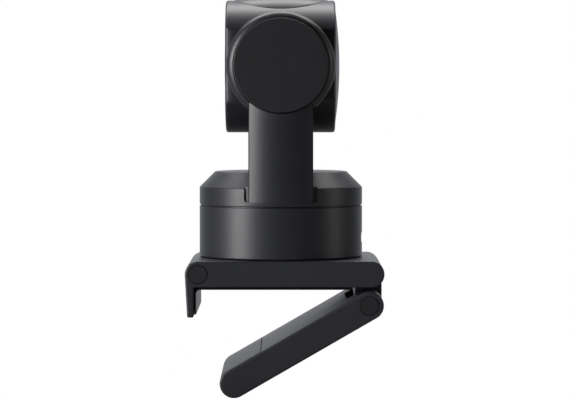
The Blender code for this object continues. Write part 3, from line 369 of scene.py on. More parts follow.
# %% Plastics
GRAIN = 0.32 * MM          # spark-eroded mould texture


def moulded(name, light, dark, low_gloss, high_gloss, grain, depth, **sockets):
    """Moulded plastic: even colour with slow drift, and a fine pattern from its mould."""
    made, tree, shader = finish(name, (low_gloss + high_gloss) / 2, **sockets)
    place = mottled(tree, shader, light, dark, 9.0 * MM)
    grained(tree, shader, place, grain, depth, low_gloss, high_gloss)
    return made


materials = {
    # ABS with a fine satin texture: highlights are broad and soft, edges catch a thin line.
    "shell_plastic": moulded("charcoal_ABS_fine_textured", "#26272c", "#232429", 0.36, 0.46,
                             GRAIN, 0.010 * MM, IOR=1.53),
    # Glass-filled nylon: a little greyer and more matt than the shell.
    "clip_plastic": moulded("charcoal_nylon_moulded", "#2c2d32", "#292a2f", 0.38, 0.48,
                            GRAIN, 0.012 * MM, IOR=1.53),
    # The caps are matt and darker, so that they read as separate discs.
    "cap_plastic": moulded("dark_ABS_matt", "#1d1e21", "#1a1b1e", 0.46, 0.56,
                           GRAIN, 0.010 * MM, IOR=1.53),
    # Unpainted black plastic inside the head.
    "black_plastic": moulded("black_polycarbonate_moulded", "#161617", "#121213", 0.45, 0.60,
                             GRAIN, 0.010 * MM, IOR=1.58),
    # Thermoplastic rubber, moulded with a coarser grain that grips.
    "rubber": moulded("black_TPE_rubber_grained", "#161618", "#101011", 0.36, 0.48,
                      0.45 * MM, 0.012 * MM, IOR=1.50),
}
print(len(materials), "plastics and rubbers")

# %% [markdown]
# Metals, glass and boards are mostly hidden, but a part can be opened up or cut through, so
# they are finished too. Machined metal has rings or streaks from its tool; wound copper shows
# its turns; a board has solder mask over its tracks.

# %% Metals, boards and glass
def machined(name, code, low_gloss, high_gloss, pitch):
    """Turned metal: fine noise streaks, a pitch wide, run across X."""
    made, tree, shader = finish(name, (low_gloss + high_gloss) / 2, 1.0)
    shader.inputs["Base Color"].default_value = linear(code)
    place = add(tree, "ShaderNodeTexCoord").outputs["Object"]
    long = add(tree, "ShaderNodeMapping", {"Vector": place, "Scale": (0.1, 0.1, 1.0)})
    grained(tree, shader, long.outputs["Vector"], pitch, 0.006 * MM, low_gloss, high_gloss)
    return made


def wound(name, wire):
    """Enamelled wire: bands one wire apart up the winding, rounded by their bump."""
    made, tree, shader = finish(name, 0.35, 1.0)
    shader.inputs["Base Color"].default_value = linear("#b4653a")
    place = add(tree, "ShaderNodeTexCoord").outputs["Object"]
    bands = add(tree, "ShaderNodeTexWave", {"Vector": place, "Scale": math.pi / 10 / wire,
                                            "Distortion": 0.4}, bands_direction="Z")
    bump = add(tree, "ShaderNodeBump", {"Height": bands.outputs["Fac"], "Distance": wire / 3})
    tree.links.new(bump.outputs["Normal"], shader.inputs["Normal"])
    return made


def solder_mask(name):
    """Glass-fibre board under green mask: square cells hint at the tracks below it."""
    made, tree, shader = finish(name, 0.35, Coat_Weight=0.4)
    place = add(tree, "ShaderNodeTexCoord").outputs["Object"]
    cells = add(tree, "ShaderNodeTexVoronoi", {"Vector": place, "Scale": 1 / (1.6 * MM)},
                distance="MANHATTAN")
    ramp = add(tree, "ShaderNodeValToRGB", {"Fac": cells.outputs["Distance"]})
    for stop, tone in zip(ramp.color_ramp.elements, ("#1f6b3c", "#0f4425")):
        stop.color = linear(tone)
    tree.links.new(ramp.outputs["Color"], shader.inputs["Base Color"])
    return made


def window(name, light, dark, roughness, **sockets):
    """Glossy glass or clear plastic over a dark backing, with a faint cloud in its tone."""
    made, tree, shader = finish(name, roughness, **sockets)
    mottled(tree, shader, light, dark, 4.0 * MM)
    return made


materials.update({
    "steel": machined("machined_steel", "#b9babd", 0.24, 0.36, 0.15 * MM),
    "brass": machined("machined_brass", "#cfa85c", 0.26, 0.38, 0.15 * MM),
    "aluminium": machined("extruded_aluminium", "#c4c6c9", 0.28, 0.42, 0.20 * MM),
    "winding": wound("enamelled_copper_wire", 0.35 * MM),
    "board": solder_mask("glass_fibre_board_solder_mask"),
    # Float glass printed black on its back: a mirror-like dark face.
    "black_glass": window("black_backed_float_glass", "#08080a", "#060607", 0.06, IOR=1.52,
                          Coat_Weight=0.5, Coat_Roughness=0.03),
    # Optical glass with a purple-green anti-reflection coating, over the dark barrel.
    "lens_glass": window("coated_optical_glass", "#15123a", "#0a1c2e", 0.03, IOR=1.70,
                         Coat_Weight=1.0, Coat_Roughness=0.02, Coat_Tint=linear("#8fa8ff")),
    # Clear polycarbonate light pipe, unlit.
    "indicator": window("clear_polycarbonate_light_pipe", "#8fa39a", "#7d938a", 0.25, IOR=1.58),
})
slots = {part["node"]: part["material_slot"] for part in frame["record"]["subparts"]}
for node, slot_name in slots.items():
    nodes[node].data.materials.clear()
    nodes[node].data.materials.append(materials[slot_name])
print(len(materials), "finishes on", len(slots), "nodes")


# %% Fit a finished piece
def fit(made, body, slot_name, *stands_for, sharp=32.0):
    """Shade the piece, give it its finish, and set it on its body in place of its nodes."""
    made.data.materials.clear()
    made.data.materials.append(materials[slot_name])
    made.data.shade_smooth()
    made.data.set_sharp_from_angle(angle=math.radians(sharp))
    even = made.modifiers.new("even_normals", "WEIGHTED_NORMAL")
    even.keep_sharp = True
    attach(made, body)
    if stands_for:
        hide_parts(*stands_for)
    print(f"{made.name}: {len(made.data.polygons)} faces, stands for {', '.join(stands_for)}")
    return made


# %% [markdown]
# ## The clip plate
# The plate and its front lip are one moulding. Seen from the side it is a long bar with half
# round ends and a thin lip that hangs from its front. It is a slab: that outline, carried
# across the clip's width, with every edge rounded a little so that it catches the light.

# %% Clip plate
CLIP_EDGE = 0.6 * MM
LIP_CORNER = 0.6 * MM
LIP_LEAN, LIP_TIP = 0.8 * MM, 2.3 * MM           # the lip leans back and thins to its tip
CAP_RADIUS = (high("front_pin_cap_left") - low("front_pin_cap_left"))[1] / 2
CAP_FLOOR = low("front_pin_cap_left")[0] - GAP
PIN_BORE = (high("front_pin") - low("front_pin"))[1] / 2 + GAP
CAP_SEAM = 0.12 * MM                             # seam round a pin's cap
SCREW_BORE, HEAD_BORE = 1.4 * MM, 2.5 * MM       # holes for a screw's shank and its head


def pin_seat(centre, bore):
    """A cross bore with a wider seat at each end for the cap that closes it."""
    seat, out = CAP_RADIUS + CAP_SEAM, CLIP_HALF + MM
    profile = [(0, out), (seat, out), (seat, CAP_FLOOR), (bore, CAP_FLOOR),
               (bore, -CAP_FLOOR), (seat, -CAP_FLOOR), (seat, -out), (0, -out)]
    return turned("seat", profile, centre, X, 72)


def screw_seat(node, narrow, wide, top):
    """An upright hole for a screw whose head is at the bottom, from the screw's own box."""
    middle = (low(node) + high(node)) / 2
    start, step = low(node)[2] - 3 * MM, low(node)[2] + 1.5 * MM + GAP
    profile = [(0, top), (narrow, top), (narrow, step), (wide, step), (wide, start), (0, start)]
    return turned("screw_seat", profile, (middle[0], middle[1], 0), Z, 48)


lip_tip = low("clip_plate")[2]
lip_inside = low("clip_liner")[1] - GAP
lip = rounded([(CLIP_FRONT, PLATE_MID), (CLIP_FRONT + LIP_LEAN, lip_tip),
               (CLIP_FRONT + LIP_LEAN + LIP_TIP, lip_tip), (lip_inside, PLATE_LOW),
               (CLIP_REAR - PLATE_ROUND, PLATE_LOW)],
              (0, LIP_CORNER, LIP_CORNER, LIP_CORNER, 0), closed=False)
rear_end = arc((CLIP_REAR - PLATE_ROUND, PLATE_MID), PLATE_ROUND, -90, 90, 32)[1:]
front_end = arc((CLIP_FRONT + PLATE_ROUND, PLATE_MID), PLATE_ROUND, 90, 180, 16)[:-1]
plate = slab("clip_plate_moulding", np.vstack((lip, rear_end, front_end)),
             edge_stations(-CLIP_HALF, CLIP_HALF, CLIP_EDGE))

knuckle_low, knuckle_high = low("rear_knuckle"), high("rear_knuckle")
combine(plate, cutter(rectangle(knuckle_low[1] - GAP, lip_tip, CLIP_REAR + PLATE_ROUND,
                                knuckle_high[2] + GAP),
                      knuckle_low[0] - GAP, knuckle_high[0] + GAP))
front_pin = (low("front_pin") + high("front_pin")) / 2
combine(plate, pin_seat(front_pin, PIN_BORE))
insert_mid = (low("tripod_insert") + high("tripod_insert")) / 2
INSERT_RADIUS = (high("tripod_insert") - low("tripod_insert"))[0] / 2
combine(plate, rod(INSERT_RADIUS + GAP, lip_tip, high("tripod_insert")[2] + GAP,
                   (insert_mid[0], insert_mid[1], 0), Z))
knuckle_pin = (low("knuckle_pin") + high("knuckle_pin")) / 2
combine(plate, rod(PIN_BORE, low("knuckle_pin")[0] - GAP, high("knuckle_pin")[0] + GAP,
                   knuckle_pin, X, 48))
for screw_node in ("base_screw_1", "base_screw_2", "base_screw_3"):
    combine(plate, screw_seat(screw_node, SCREW_BORE, HEAD_BORE, PLATE_HIGH + MM))
fit(plate, "clip", "clip_plastic", "clip_plate")

# %% [markdown]
# ## The clip's small pieces
# Round caps close the cross pins' ends: they are turned, with a small chamfer and a face a
# hair below the plate's side. The rubber liner is one bent strip, so it is a slab whose
# outline is the strip seen from the side.

# %% Pin caps, liner and tripod thread
def pin_cap(node, body):
    """A round cap with a fine chamfer and a barely dished face."""
    start, end = low(node), high(node)
    middle = (start + end) / 2
    outward = 1 if middle[0] > 0 else -1
    half = (end[0] - start[0]) / 2
    edge, dish = 0.2 * MM, 0.04 * MM
    r = np.linspace(0, CAP_RADIUS - edge - 0.3 * MM, 6)
    face = np.column_stack((r, half - dish * (1 - (r / r[-1]) ** 2)))
    rim = rounded([(r[-1], half), (CAP_RADIUS, half), (CAP_RADIUS, -half), (0, -half)],
                  (0, edge, edge, 0), 3, closed=False)
    made = turned(node + "_turned", np.vstack((face[:-1], rim)), middle, X * outward, 72)
    return fit(made, body, "cap_plastic", node)


for cap_node in ("front_pin_cap_left", "front_pin_cap_right"):
    pin_cap(cap_node, "clip")

liner_face = low("clip_liner")[1]
LINER_THICK = PLATE_LOW - GAP
LINER_BEND = 2.0 * MM
bend_centre = (liner_face + LINER_BEND, LINER_THICK - LINER_BEND)
liner_outline = np.vstack((
    [(high("clip_liner")[1], 0.0), (high("clip_liner")[1], LINER_THICK)],
    arc(bend_centre, LINER_BEND, 90, 180),
    [(liner_face, low("clip_liner")[2]), (liner_face + LINER_THICK, low("clip_liner")[2])],
    arc(bend_centre, LINER_BEND - LINER_THICK, 180, 90)))
liner = slab("clip_liner_moulded", liner_outline,
             edge_stations(low("clip_liner")[0], high("clip_liner")[0], 0.12 * MM, 3, 0.05 * MM))
combine(liner, rod(INSERT_RADIUS + GAP, -MM, PLATE_LOW, (insert_mid[0], insert_mid[1], 0), Z))
fit(liner, "clip", "rubber", "clip_liner")


# %% [markdown]
# The tripod insert has the quarter-inch thread that all tripods share: 1.27 mm from turn to
# turn. Its bore's radius rises and falls along a helix, r = r0 + d |saw(z / pitch - a / 2 pi)|,
# and the thread fades out at both mouths.

# %% Tripod insert
PITCH, THREAD_DEPTH = 1.27 * MM, 0.6 * MM
insert_low, insert_high = low("tripod_insert")[2], high("tripod_insert")[2]
INSERT_BORE = 3.2 * MM
angles = np.linspace(0, 2 * np.pi, 96, endpoint=False)
heights = np.linspace(insert_low + 0.4 * MM, insert_high - 0.4 * MM, 64)
phase = heights[:, None] / PITCH - angles / (2 * np.pi)
fade = np.clip(np.minimum(heights - insert_low, insert_high - heights) / (1.2 * MM) - 0.3, 0, 1)
bore = INSERT_BORE + THREAD_DEPTH * fade[:, None] * np.abs(2 * (phase % 1) - 1)
rim_profile = rounded([(INSERT_BORE, insert_high), (INSERT_RADIUS, insert_high),
                       (INSERT_RADIUS, insert_low), (INSERT_BORE, insert_low)],
                      (0.3 * MM, 0.2 * MM, 0.2 * MM, 0.3 * MM), 3)
radii = np.vstack((bore, np.repeat(rim_profile[:, :1], len(angles), 1)))
levels = np.concatenate((heights, rim_profile[:, 1]))
insert_points = np.stack((insert_mid[0] + radii * np.cos(angles),
                          insert_mid[1] + radii * np.sin(angles),
                          np.repeat(levels[:, None], len(angles), 1)), -1)
fit(mesh_piece("tripod_insert_threaded", insert_points, grid_faces(len(levels), 96, True)),
    "clip", "brass", "tripod_insert")

# %% [markdown]
# ## The knuckle and the leg
# The leg is a second bar with half-round ends. It hinges on a pin through a knuckle under the
# plate's rear edge, and the knuckle fills a slot in the leg's end.

# %% Knuckle
KNUCKLE_ROUND = HINGE[1] - knuckle_low[1]
knuckle_outline = np.vstack((
    arc((HINGE[1], HINGE[2]), KNUCKLE_ROUND, 180, 360, 40),
    arc((knuckle_high[1] - 1.5 * MM, knuckle_high[2] - 1.5 * MM), 1.5 * MM, 0, 90, 8),
    rounded([(0, knuckle_high[2]), (knuckle_low[1], knuckle_high[2]), (knuckle_low[1], 0)],
            (0, 0.5 * MM, 0), closed=False)[1:-1]))
knuckle = slab("rear_knuckle_moulding", knuckle_outline,
               edge_stations(knuckle_low[0], knuckle_high[0], 0.3 * MM, 3))
HINGE_BORE = (high("leg_hinge_pin") - low("leg_hinge_pin"))[1] / 2 + GAP
combine(knuckle, rod(HINGE_BORE, -CLIP_HALF, CLIP_HALF, HINGE, X, 64))
combine(knuckle, rod(PIN_BORE, -CLIP_HALF, CLIP_HALF, knuckle_pin, X, 48))
fit(knuckle, "clip", "clip_plastic", "rear_knuckle")

# %% [markdown]
# The leg is drawn along its own length: p runs from the hinge to the tip and q out of its
# upper face. Its rubber pad lies on the upper face and wraps over the tip, so it is lofted
# along that path: straight while s is less than the reach, then round the tip's centre by
# the angle (s - reach) / radius.

# %% Leg and its pad
ALONG = unit(LEG_TIP - HINGE * (0, 1, 1))
UP = np.cross(ALONG, X)
LEG_LENGTH = float((LEG_TIP - HINGE * (0, 1, 1)) @ ALONG)
PAD_REACH, PAD_WRAP = 13.4 * MM, math.radians(62)
PAD_THICK, PAD_INSET = 0.9 * MM, 1.1 * MM
PAD_TIP = 0.8 * MM                               # corner radius at the pad's tip end
SLOT_DEPTH, SLOT_HALF = 6.2 * MM, high("leg_washer_left")[0] + GAP


def pad_body(name, grow, top, corner):
    """The pad's strip, grown by a gap all round: w(s) = W - c + sqrt(c^2 - (c - s)^2) at its
    back corners, so that they are quarter rounds of radius c."""
    length = PAD_REACH + LEG_ROUND * PAD_WRAP + 2 * grow
    tip_turn = np.linspace(0, np.pi / 2, 6)[1:]
    ends = np.concatenate((corner * (1 - np.cos(np.linspace(0, np.pi / 2, 9))),
                           np.linspace(corner, length - PAD_TIP, 40)[1:],
                           length - PAD_TIP * (1 - np.sin(tip_turn))))
    s = ends - grow
    back = np.clip(corner - ends, 0, corner)
    front = np.clip(ends - (length - PAD_TIP), 0, PAD_TIP)
    half = (CLIP_HALF - PAD_INSET + grow - corner + np.sqrt(corner ** 2 - back ** 2)
            - PAD_TIP + np.sqrt(PAD_TIP ** 2 - front ** 2))
    edge = min(0.25 * MM, (top + PAD_THICK) / 3)
    section = np.vstack((rectangle(-1, -PAD_THICK - grow, 1, top - edge)[:3],
                         [(1, top - 0.3 * edge), (1, top)], [(-1, top), (-1, top - 0.3 * edge)],
                         rectangle(-1, -PAD_THICK - grow, 1, top - edge)[3:]))
    pull = np.array([0, 0, 0, 0.3, 1, 1, 0.3, 0]) * edge
    x = section[:, 0] * (half[:, None] - pull)
    h = np.repeat(section[None, :, 1], len(s), 0)
    over = np.clip((s - PAD_REACH) / LEG_ROUND, 0, None)[:, None]
    straight = np.minimum(s, PAD_REACH)[:, None]
    p = LEG_LENGTH - PAD_REACH + straight + (LEG_ROUND + h) * np.sin(over)
    q = (LEG_ROUND + h) * np.cos(over)
    loops = (HINGE * (0, 1, 1) + x[..., None] * X + p[..., None] * ALONG + q[..., None] * UP)
    return lofted(name, loops)


leg_outline = np.vstack((arc((0, 0), LEG_ROUND, 90, 270, 40),
                         arc((LEG_LENGTH, 0), LEG_ROUND, -90, 90, 40)))
leg = slab("rear_leg_moulding", leg_outline, edge_stations(-CLIP_HALF, CLIP_HALF, CLIP_EDGE),
           HINGE * (0, 1, 1), ALONG, UP)
combine(leg, cutter(rectangle(-2 * LEG_ROUND, -2 * LEG_ROUND, SLOT_DEPTH, 2 * LEG_ROUND),
                    -SLOT_HALF, SLOT_HALF, HINGE * (0, 1, 1), ALONG, UP))
combine(leg, pad_body("recess", GAP, 2 * MM, 3.0 * MM))
combine(leg, pin_seat(HINGE, HINGE_BORE))
fit(leg, "leg", "clip_plastic", "rear_leg")
fit(pad_body("leg_pad_moulded", 0.0, 0.05 * MM, 2.7 * MM), "leg", "rubber", "leg_pad")
for cap_node in ("leg_pin_cap_left", "leg_pin_cap_right"):
    pin_cap(cap_node, "leg")
for washer_node in ("leg_washer_left", "leg_washer_right"):
    start, end = low(washer_node), high(washer_node)
    flat = rounded([(HINGE_BORE, end[0]), ((end - start)[1] / 2, end[0]),
                    ((end - start)[1] / 2, start[0]), (HINGE_BORE, start[0])], 0.15 * MM, 3)
    fit(turned(washer_node + "_turned", flat, HINGE, X, 72, True), "leg", "steel", washer_node)

# %% [markdown]
# ## The base
# The base is a plain cup, turned, with a thin raised lip inside its top edge. The lip runs in
# a groove under the turntable, so that the pan seam hides the motor but still shows light at
# its two ends. Its rear wall has the socket's mouth, a slab-shaped hole with round ends.

# %% Base housing and socket
base_low, base_high = low("base_housing")[2], high("base_housing")[2]
STEP = 1.0 * MM
BASE_TOP = base_high - STEP
BASE_BORE = high("base_deck")[0] + GAP
LEDGE = high("main_board")[0] + GAP
FLOOR = base_low + 2.0 * MM
ledge_top = low("base_deck")[2] - GAP
cup = rounded([(0, FLOOR), (LEDGE, FLOOR), (LEDGE, ledge_top), (BASE_BORE, ledge_top),
               (BASE_BORE, base_high), (BASE_RADIUS - STEP, base_high),
               (BASE_RADIUS - STEP, BASE_TOP), (BASE_RADIUS, BASE_TOP),
               (BASE_RADIUS, base_low), (0, base_low)],
              np.array((0, 0.5, 0, 0, 0.15, 0.15, 0, 0.3, 0.4, 0)) * MM, 4, closed=False)
base = turned("base_housing_moulding", cup, sides=192)
socket_low, socket_high = low("usb_socket"), high("usb_socket")
socket_mid = (socket_low + socket_high) / 2


def stadium(half_width, half_height, count=16):
    """A flat-sided oval: two half rounds joined by straight lines."""
    run = half_width - half_height
    return np.vstack((arc((run, 0), half_height, -90, 90, count),
                      arc((-run, 0), half_height, 90, 270, count)))


SOCKET_HALF = (socket_high - socket_low)[[0, 2]] / 2
mouth = stadium(SOCKET_HALF[0] + GAP, SOCKET_HALF[1] + GAP)
combine(base, cutter(mouth, -30 * MM, -LEDGE + 2 * MM, (0, 0, socket_mid[2]), X, Z))
for screw_node in ("base_screw_1", "base_screw_2", "base_screw_3"):
    middle = (low(screw_node) + high(screw_node)) / 2
    combine(base, rod(SCREW_BORE, base_low - MM, FLOOR + MM, (middle[0], middle[1], 0), Z, 48))
fit(base, "clip", "shell_plastic", "base_housing")

SHELL = 0.3 * MM
socket = slab("usb_socket_shell", stadium(*SOCKET_HALF),
              edge_stations(-socket_high[1], -socket_low[1], 0.12 * MM, 3, 0.05 * MM),
              (0, 0, socket_mid[2]), X, Z)
combine(socket, cutter(stadium(*(SOCKET_HALF - SHELL)), -socket_high[1] - MM,
                       -socket_low[1] - 1.2 * MM, (0, 0, socket_mid[2]), X, Z))
fit(socket, "clip", "steel", "usb_socket")
tongue = slab("usb_tongue", rounded(rectangle(-3.3 * MM, -0.35 * MM, 3.3 * MM, 0.35 * MM),
                                    0.1 * MM, 3),
              edge_stations(-socket_high[1] + 1.2 * MM, -socket_low[1] - 1.1 * MM, 0.08 * MM, 2,
                            0.02 * MM), (0, 0, socket_mid[2]), X, Z)
fit(tongue, "clip", "black_plastic")

# %% [markdown]
# ## The turntable and its arm
# These are one moulding: a chamfered cap that pans, and a curved arm that grows out of its
# side. The arm's outer face is bowed a little more than the cap's wall. A shallow groove each
# side of its foot makes it read as a separate tongue. At the top it widens into a round hub.
# The pieces are made as turned bodies and slabs and joined with exact Booleans.

# %% Turntable, arm and hub
CHAMFER = 5.6 * MM
WALL = 2.0 * MM
SHOULDER = RING_HIGH - CHAMFER
SLIT, SLIT_FLOOR = 1.5 * MM, RING_LOW + 1.5 * MM
GROOVE_DEPTH = 0.8 * MM                          # how far each slit sinks into the wall
groove = BASE_RADIUS - STEP + 0.4 * MM
floor_low, floor_high = low("turntable_floor")[2], high("turntable_floor")[2]
ring_profile = rounded(
    [(0, RING_HIGH), (BASE_RADIUS - CHAMFER, RING_HIGH), (BASE_RADIUS, SHOULDER),
     (BASE_RADIUS, RING_LOW), (groove, RING_LOW), (groove, floor_low),
     (BASE_RADIUS - WALL, floor_low), (BASE_RADIUS - WALL, SHOULDER - 0.4 * WALL),
     (BASE_RADIUS - CHAMFER - 0.4 * WALL, RING_HIGH - WALL), (0, RING_HIGH - WALL)],
    np.array((0, 1.0, 1.0, 0.3, 0.15, 0, 0, 0.5, 0.5, 0)) * MM, 6, closed=False)
turntable = turned("turntable_arm_moulding", ring_profile, sides=192)
for sign in (-1, 1):
    near, far = sorted((sign * (ARM_HALF - 0.5 * MM), sign * (ARM_HALF + SLIT)))
    corner = (1.2 * MM, 0) if sign < 0 else (0, 1.2 * MM)
    slit = rounded(rectangle(near, SLIT_FLOOR, far, RING_HIGH + 2 * MM), (*corner, 0, 0), 8)
    beside = cutter(slit, ARM_IN, BASE_RADIUS + 2 * MM)
    core = rod(BASE_RADIUS - GROOVE_DEPTH, RING_LOW - MM, RING_HIGH + 3 * MM, (0, 0, 0), Z, 192)
    combine(turntable, combine(beside, core))
combine(turntable, cutter(rectangle(-ARM_HALF, SLIT_FLOOR, ARM_HALF, RING_HIGH + 2 * MM),
                          ARM_IN, BASE_RADIUS + 2 * MM))

ARM_OUT = BASE_RADIUS - 0.03 * MM
BOW = 22.5 * MM                                  # radius of the arm's outer face
reach = math.degrees(math.asin((ARM_HALF - 0.35 * MM) / BOW))
foot_corner = ARM_OUT - BOW + BOW * math.cos(math.asin(ARM_HALF / BOW))
arm_plan = np.vstack((
    arc((ARM_OUT - BOW, 0), BOW, -reach, reach, 40),
    rounded([(foot_corner + 0.15 * MM, ARM_HALF - 0.05 * MM), (foot_corner - 0.6 * MM, ARM_HALF),
             (ARM_IN, ARM_HALF), (ARM_IN, -ARM_HALF), (foot_corner - 0.6 * MM, -ARM_HALF),
             (foot_corner + 0.15 * MM, -ARM_HALF + 0.05 * MM)], (0, 0.2 * MM, 0.2 * MM, 0.2 * MM,
                                                               0.2 * MM, 0), 3, closed=False)))
combine(turntable, cutter(arm_plan, floor_low, TILT[2], (0, 0, 0), X, Y), "UNION")
rib = rectangle(ARM_IN - 2 * MM, -ARM_HALF + 0.3 * MM, ARM_IN + 2 * MM, ARM_HALF - 0.3 * MM)
combine(turntable, cutter(rib, floor_high + 2 * GAP, RING_HIGH - GAP, (0, 0, 0), X, Y), "UNION")
combine(turntable, rod(high("base_deck")[0], RING_LOW - MM, floor_high + GAP, (0, 0, 0), Z, 176))

HUB_CHAMFER, WEB = 2.1 * MM, 3.0 * MM
HUB_FACE = ARM_OUT - 2.45 * MM
HUB_SIDE = HUB_FACE - HUB_CHAMFER
hub_profile = rounded([(0, HUB_FACE), (HUB_RADIUS - HUB_CHAMFER, HUB_FACE), (HUB_RADIUS, HUB_SIDE),
                       (HUB_RADIUS, ARM_IN), (0, ARM_IN)], np.array((0, 3.4, 3.4, 0.2, 0)) * MM, 8,
                      closed=False)
combine(turntable, turned("hub", hub_profile, TILT, X, 192), "UNION")
web_side = ARM_HALF + WEB
web_drop = -math.sqrt((HUB_RADIUS + WEB) ** 2 - web_side ** 2)
meet = math.degrees(math.atan2(-web_drop, web_side))
web_right = arc((web_side, web_drop), WEB, 180, 180 - meet, 12)
web = np.vstack((web_right, [(ARM_HALF / 2, -ARM_HALF), (-ARM_HALF / 2, -ARM_HALF)],
                 (web_right * (-1, 1))[::-1]))
combine(turntable, cutter(web, ARM_IN, HUB_SIDE, TILT * (0, 1, 1)), "UNION")
HUB_CAP = (high("tilt_motor_cap") - low("tilt_motor_cap"))[1] / 2
combine(turntable, rod(HUB_CAP + GAP, ARM_IN - MM, ARM_OUT + 2 * MM, TILT * (0, 1, 1), X, 180))
hollow = rectangle(-ARM_HALF + 2.2 * MM, RING_HIGH + 10 * MM, ARM_HALF - 2.2 * MM,
                   TILT[2] - HUB_RADIUS + 4 * MM)
combine(turntable, cutter(hollow, ARM_IN - MM, ARM_OUT - 4.4 * MM))
for screw_node in ("floor_screw_1", "floor_screw_2", "floor_screw_3"):
    middle = (low(screw_node) + high(screw_node)) / 2
    boss_place = (middle[0], middle[1], 0)
    combine(turntable, rod(2.2 * MM, floor_high + GAP, RING_HIGH - WALL / 2, boss_place, Z, 48),
            "UNION")
    combine(turntable, rod(SCREW_BORE, floor_low, floor_high + 4.4 * MM, boss_place, Z, 48))
for screw_node in ("cover_screw_1", "cover_screw_2"):
    middle = (low(screw_node) + high(screw_node)) / 2
    combine(turntable, rod(SCREW_BORE, ARM_IN - MM, ARM_IN + 3.6 * MM,
                           (0, middle[1], middle[2]), X, 48))
fit(turntable, "turntable", "shell_plastic", "turntable_arm")

# %% [markdown]
# ## The arm's covers and screws
# A round cap hides the tilt motor and is the darkest, most matt disc on the object. A thin
# cover closes the arm's inner side; two screws hold it.

# %% Motor cap, inner cover and screws
cap_low, cap_high = low("tilt_motor_cap")[0], high("tilt_motor_cap")[0]
CROWN, SKIN = 0.1 * MM, 1.5 * MM
r = np.linspace(0, HUB_CAP - 0.4 * MM, 14)
crown = np.column_stack((r, cap_high - CROWN * (r / HUB_CAP) ** 2))
cap_roof = cap_high - SKIN - CROWN
cap_rim = rounded([crown[-1], (HUB_CAP, crown[-1, 1]), (HUB_CAP, cap_low),
                   (HUB_CAP - SKIN, cap_low), (HUB_CAP - SKIN, cap_roof), (0, cap_roof)],
                  np.array((0, 0.35, 0.2, 0.2, 0.3, 0)) * MM, 5, closed=False)
fit(turned("tilt_motor_cap_turned", np.vstack((crown[:-1], cap_rim)), TILT * (0, 1, 1), X, 192),
    "turntable", "cap_plastic", "tilt_motor_cap")

cover_meet = math.degrees(math.asin(ARM_HALF / HUB_RADIUS))
cover_foot = low("arm_inner_cover")[2] - TILT[2]
cover_outline = np.vstack((
    arc((0, 0), HUB_RADIUS, -90 + cover_meet, 270 - cover_meet, 120),
    rounded([(-ARM_HALF, 0), (-ARM_HALF, cover_foot), (ARM_HALF, cover_foot), (ARM_HALF, 0)],
            (0, MM, MM, 0), closed=False)[1:-1]))
cover = slab("arm_inner_cover_moulding", cover_outline,
             edge_stations(COVER_IN, COVER_OUT, 0.3 * MM), TILT * (0, 1, 1))
BEARING = (high("tilt_bearing") - low("tilt_bearing"))[1] / 2
combine(cover, rod(BEARING + GAP, COVER_IN - MM, COVER_OUT + MM, TILT * (0, 1, 1), X, 120))
for screw_node in ("cover_screw_1", "cover_screw_2"):
    middle = (low(screw_node) + high(screw_node)) / 2
    combine(cover, rod(SCREW_BORE, COVER_IN - MM, COVER_OUT + MM, (0, middle[1], middle[2]), X, 48))
fit(cover, "turntable", "shell_plastic", "arm_inner_cover")

HEAD_THICK = 1.5 * MM
for screw_node in ("cover_screw_1", "cover_screw_2"):
    start, end = low(screw_node), high(screw_node)
    middle = (start + end) / 2
    radius, length = (end - start)[1] / 2, (end - start)[0]
    profile = rounded([(0, 0), (radius, 0), (radius, -HEAD_THICK), (radius / 2, -HEAD_THICK),
                       (radius / 2, -length), (0, -length)],
                      np.array((0, 0.6, 0.1, 0.1, 0.3, 0)) * MM, 5, closed=False)
    screw = turned(screw_node + "_machined", profile, (start[0], middle[1], middle[2]), -X, 64)
    hexagon = arc((0, 0), 1.15 * MM, 0, 300, 5)
    combine(screw, cutter(hexagon, -MM, 0.9 * MM, (start[0], middle[1], middle[2])))
    fit(screw, "turntable", "steel", screw_node)
bearing_bore = high("tilt_shaft")[2] - TILT[2] - 3.2 * MM
bearing_ring = rounded([(bearing_bore, COVER_OUT), (BEARING, COVER_OUT), (BEARING, COVER_IN),
                        (bearing_bore, COVER_IN)], 0.2 * MM, 4)
fit(turned("tilt_bearing_ground", bearing_ring, TILT * (0, 1, 1), X, 96, True), "turntable",
    "steel", "tilt_bearing")

# %% [markdown]
# ## The head
# The head is a short round drum lying on its side, with one flat where it faces the arm. The
# shell is a slab along the drum's axis: its outline is a circle with that flat. Lens ring,
# glass and covers sit in seats cut from it.

# %% Head shell
HEAD_EDGE, HEAD_WALL = 0.9 * MM, 1.6 * MM


def head_outline(radius, flat, corner=1.0 * MM):
    """From the front: a circle with a flat at +x, whose two corners are softened."""
    meet_at = math.degrees(math.acos(flat / radius)) + 1.2
    side = radius * math.sin(math.radians(meet_at))
    body = arc((0, 0), radius, meet_at, 360 - meet_at, 184)
    lift = flat - radius * math.cos(math.radians(meet_at))
    ease = np.array([(flat - 0.25 * lift, -side + 0.45 * corner), (flat, -side + 1.4 * corner),
                     (flat, side - 1.4 * corner), (flat - 0.25 * lift, side - 0.45 * corner)])
    return np.vstack((body, ease))


def head_slab(name, radius, flat, start, end, edge, ease=0.0, run=3.4 * MM):
    """A slab of the head's outline along Y, from start to end. Towards the front its flat
    eases off by ease ((run - t) / run)^2, where t is the way still to go."""
    front, loops = -start, []
    for drawn_in, depth in edge_stations(-end, front, edge, between=40):
        eased = flat - ease * (max(run - (front - depth), 0) / run) ** 2
        outline = inset(head_outline(radius, eased), drawn_in)
        loops.append(outline[:, :1] * X + outline[:, 1:] * Z - depth * Y)
    return lofted(name, np.stack(loops) + TILT * (1, 0, 1))


